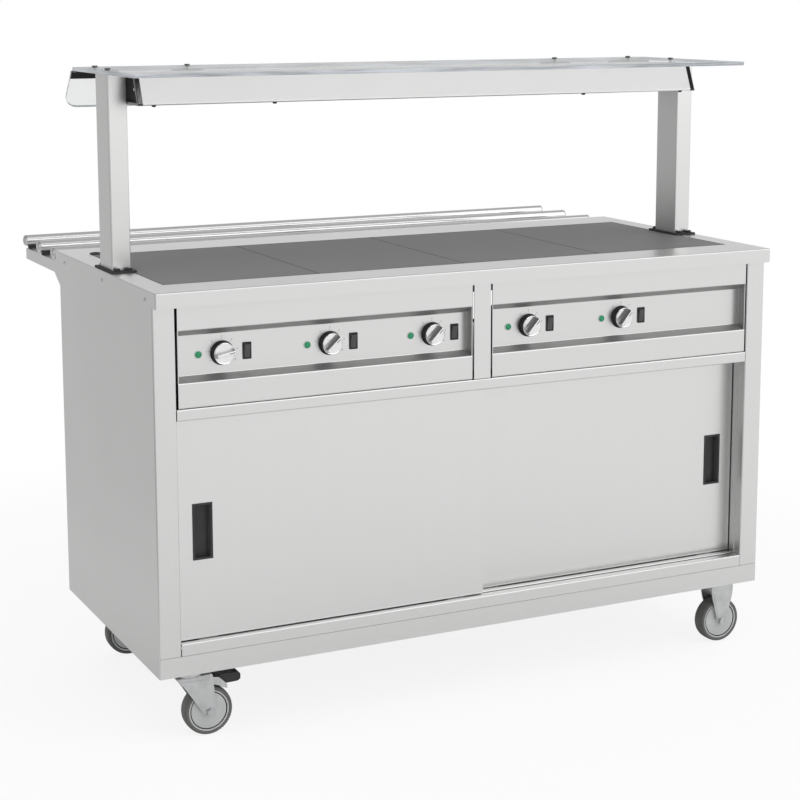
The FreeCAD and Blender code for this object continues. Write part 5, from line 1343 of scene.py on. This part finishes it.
# ---------------------------------------------------------------- room, light and camera
@dataclass
class Studio:
    """A pale floor under plain soft light, seen from the photograph's side."""

    camera_at: Point = (-1.7718, -3.7262, 1.4394)
    yaw: float = 25.974
    pitch: float = -8.901
    roll: float = -0.108
    lens: float = 83.36
    shift: float = -0.14
    sensor: float = 36.0
    look_at: Point = (0.0, 0.0, 0.7)
    floor_size: float = 12.0
    floor_white: float = 0.85
    floor_fade: tuple[float, float] = (0.9, 4.0)

    def build(self) -> None:
        """Make the floor, the world, the lamps and the camera."""
        self.floor()
        self.world()
        self.lamp("key_light", (2.6, -4.6, 4.2), 7.0, 150.0)
        self.lamp("fill_light", (-4.5, -2.5, 3.0), 6.0, 40.0)
        self.camera()
        bpy.context.scene.view_settings.view_transform = "Standard"

    def floor(self) -> None:
        """A pale disc that fades into the background away from the object."""
        Bench.clear()
        bpy.ops.mesh.primitive_circle_add(vertices=96, radius=self.floor_size / 2, fill_type="NGON")
        floor = Bench.settle("floor")
        material = bpy.data.materials.new("pale_floor")
        material.use_nodes = True
        recipe = Recipe(material.node_tree)
        reach = recipe.along(Axis.X).power(2.0) + recipe.along(Axis.Y).power(2.0)
        grit = recipe.noise((60.0, 60.0, 60.0), 3.0)
        tone = recipe.blend(grit, (0.93, 0.93, 0.93), (0.95, 0.95, 0.95))
        matt = recipe.surface(Base_Color=tone, Roughness=0.9, Specular_IOR_Level=0.1)
        paper = recipe.node("ShaderNodeEmission", {}, {"Color": (1, 1, 1, 1), "Strength": 1.0})
        seen = recipe.node("ShaderNodeLightPath", {}, {}, "Is Camera Ray")
        seen = seen.most(recipe.node("ShaderNodeLightPath", {}, {}, "Is Transmission Ray"))
        lit = recipe.node("ShaderNodeMixShader", {}, {0: seen * self.floor_white, 1: matt, 2: paper})
        clear = recipe.node("ShaderNodeBsdfTransparent", {}, {})
        fade = reach.ramp(*self.floor_fade)
        recipe.output(recipe.node("ShaderNodeMixShader", {}, {0: fade, 1: lit, 2: clear}))
        floor.data.materials.append(material)

    def world(self) -> None:
        """White where the camera looks, a soft studio round the object for its gloss."""
        world = bpy.data.worlds.new("studio")
        bpy.context.scene.world = world
        world.use_nodes = True
        recipe = Recipe(world.node_tree)
        way = recipe.node("ShaderNodeTexCoord", {}, {}, "Object")
        x = recipe.node("ShaderNodeSeparateXYZ", {}, {0: way}, "X")
        z = recipe.node("ShaderNodeSeparateXYZ", {}, {0: way}, "Z")
        path = recipe.node("ShaderNodeLightPath", {}, {}, "Is Camera Ray")
        gloss = recipe.node("ShaderNodeLightPath", {}, {}, "Is Glossy Ray")
        through = recipe.node("ShaderNodeLightPath", {}, {}, "Is Transmission Ray")
        soft = x.ramp(-0.75, 0.4, 0.48, 1.0) * z.ramp(-0.05, 0.7, 1.0, 0.55)
        level = path.most(through).most(gloss * soft)
        level = level + (1.0 - path.most(through).most(gloss)) * 0.72
        shade = recipe.node("ShaderNodeBackground", {}, {"Color": (1, 1, 1, 1), "Strength": level})
        recipe.output(shade, world=True)

    def lamp(self, name: str, place: Point, size: float, power: float) -> None:
        """A large square soft lamp that looks at the counter."""
        Bench.clear()
        bpy.ops.object.light_add(type="AREA", location=place)
        lamp = bpy.context.active_object
        lamp.name = lamp.data.name = name
        lamp.data.size = size
        lamp.data.energy = power
        lamp.rotation_euler = (Vector(self.look_at) - Vector(place)).to_track_quat("-Z", "Y").to_euler()

    def camera(self) -> None:
        """The photograph's camera, with the small rise that its framing needs."""
        data = bpy.data.cameras.new("camera")
        camera = bpy.data.objects.new("camera", data)
        bpy.context.collection.objects.link(camera)
        data.lens = self.lens
        data.sensor_width = self.sensor
        data.shift_y = self.shift
        pan = Matrix.Rotation(math.radians(-self.yaw), 4, "Z")
        tilt = Matrix.Rotation(math.radians(90 + self.pitch), 4, "X")
        roll = Matrix.Rotation(math.radians(self.roll), 4, "Z")
        camera.matrix_world = Matrix.Translation(self.camera_at) @ pan @ tilt @ roll
        bpy.context.scene.camera = camera


def main() -> None:
    """Build the room, dress the frame and add each sub-assembly."""
    logging.basicConfig(level=logging.INFO, format="%(message)s")
    Studio().build()
    SheetMetal().dress()
    TraySlide().build()
    Controls().build()
    DoorHandle("left", -603.0, 14.0).build()
    DoorHandle("right", 603.0, 43.0).build()
    Glazing().build()
    Gantry().build()
    CounterDetail().build()
    Fixings().build()
    for end, y in (("front", 58.0), ("rear", 566.0)):
        Castor(f"{end}_left", CastorKind.SWIVEL, -624.0, y, 38.0).build()
        Castor(f"{end}_right", CastorKind.FIXED, 637.0, y, 0.0).build()
    bpy.context.view_layer.update()


if __name__ == "__main__":
    main()
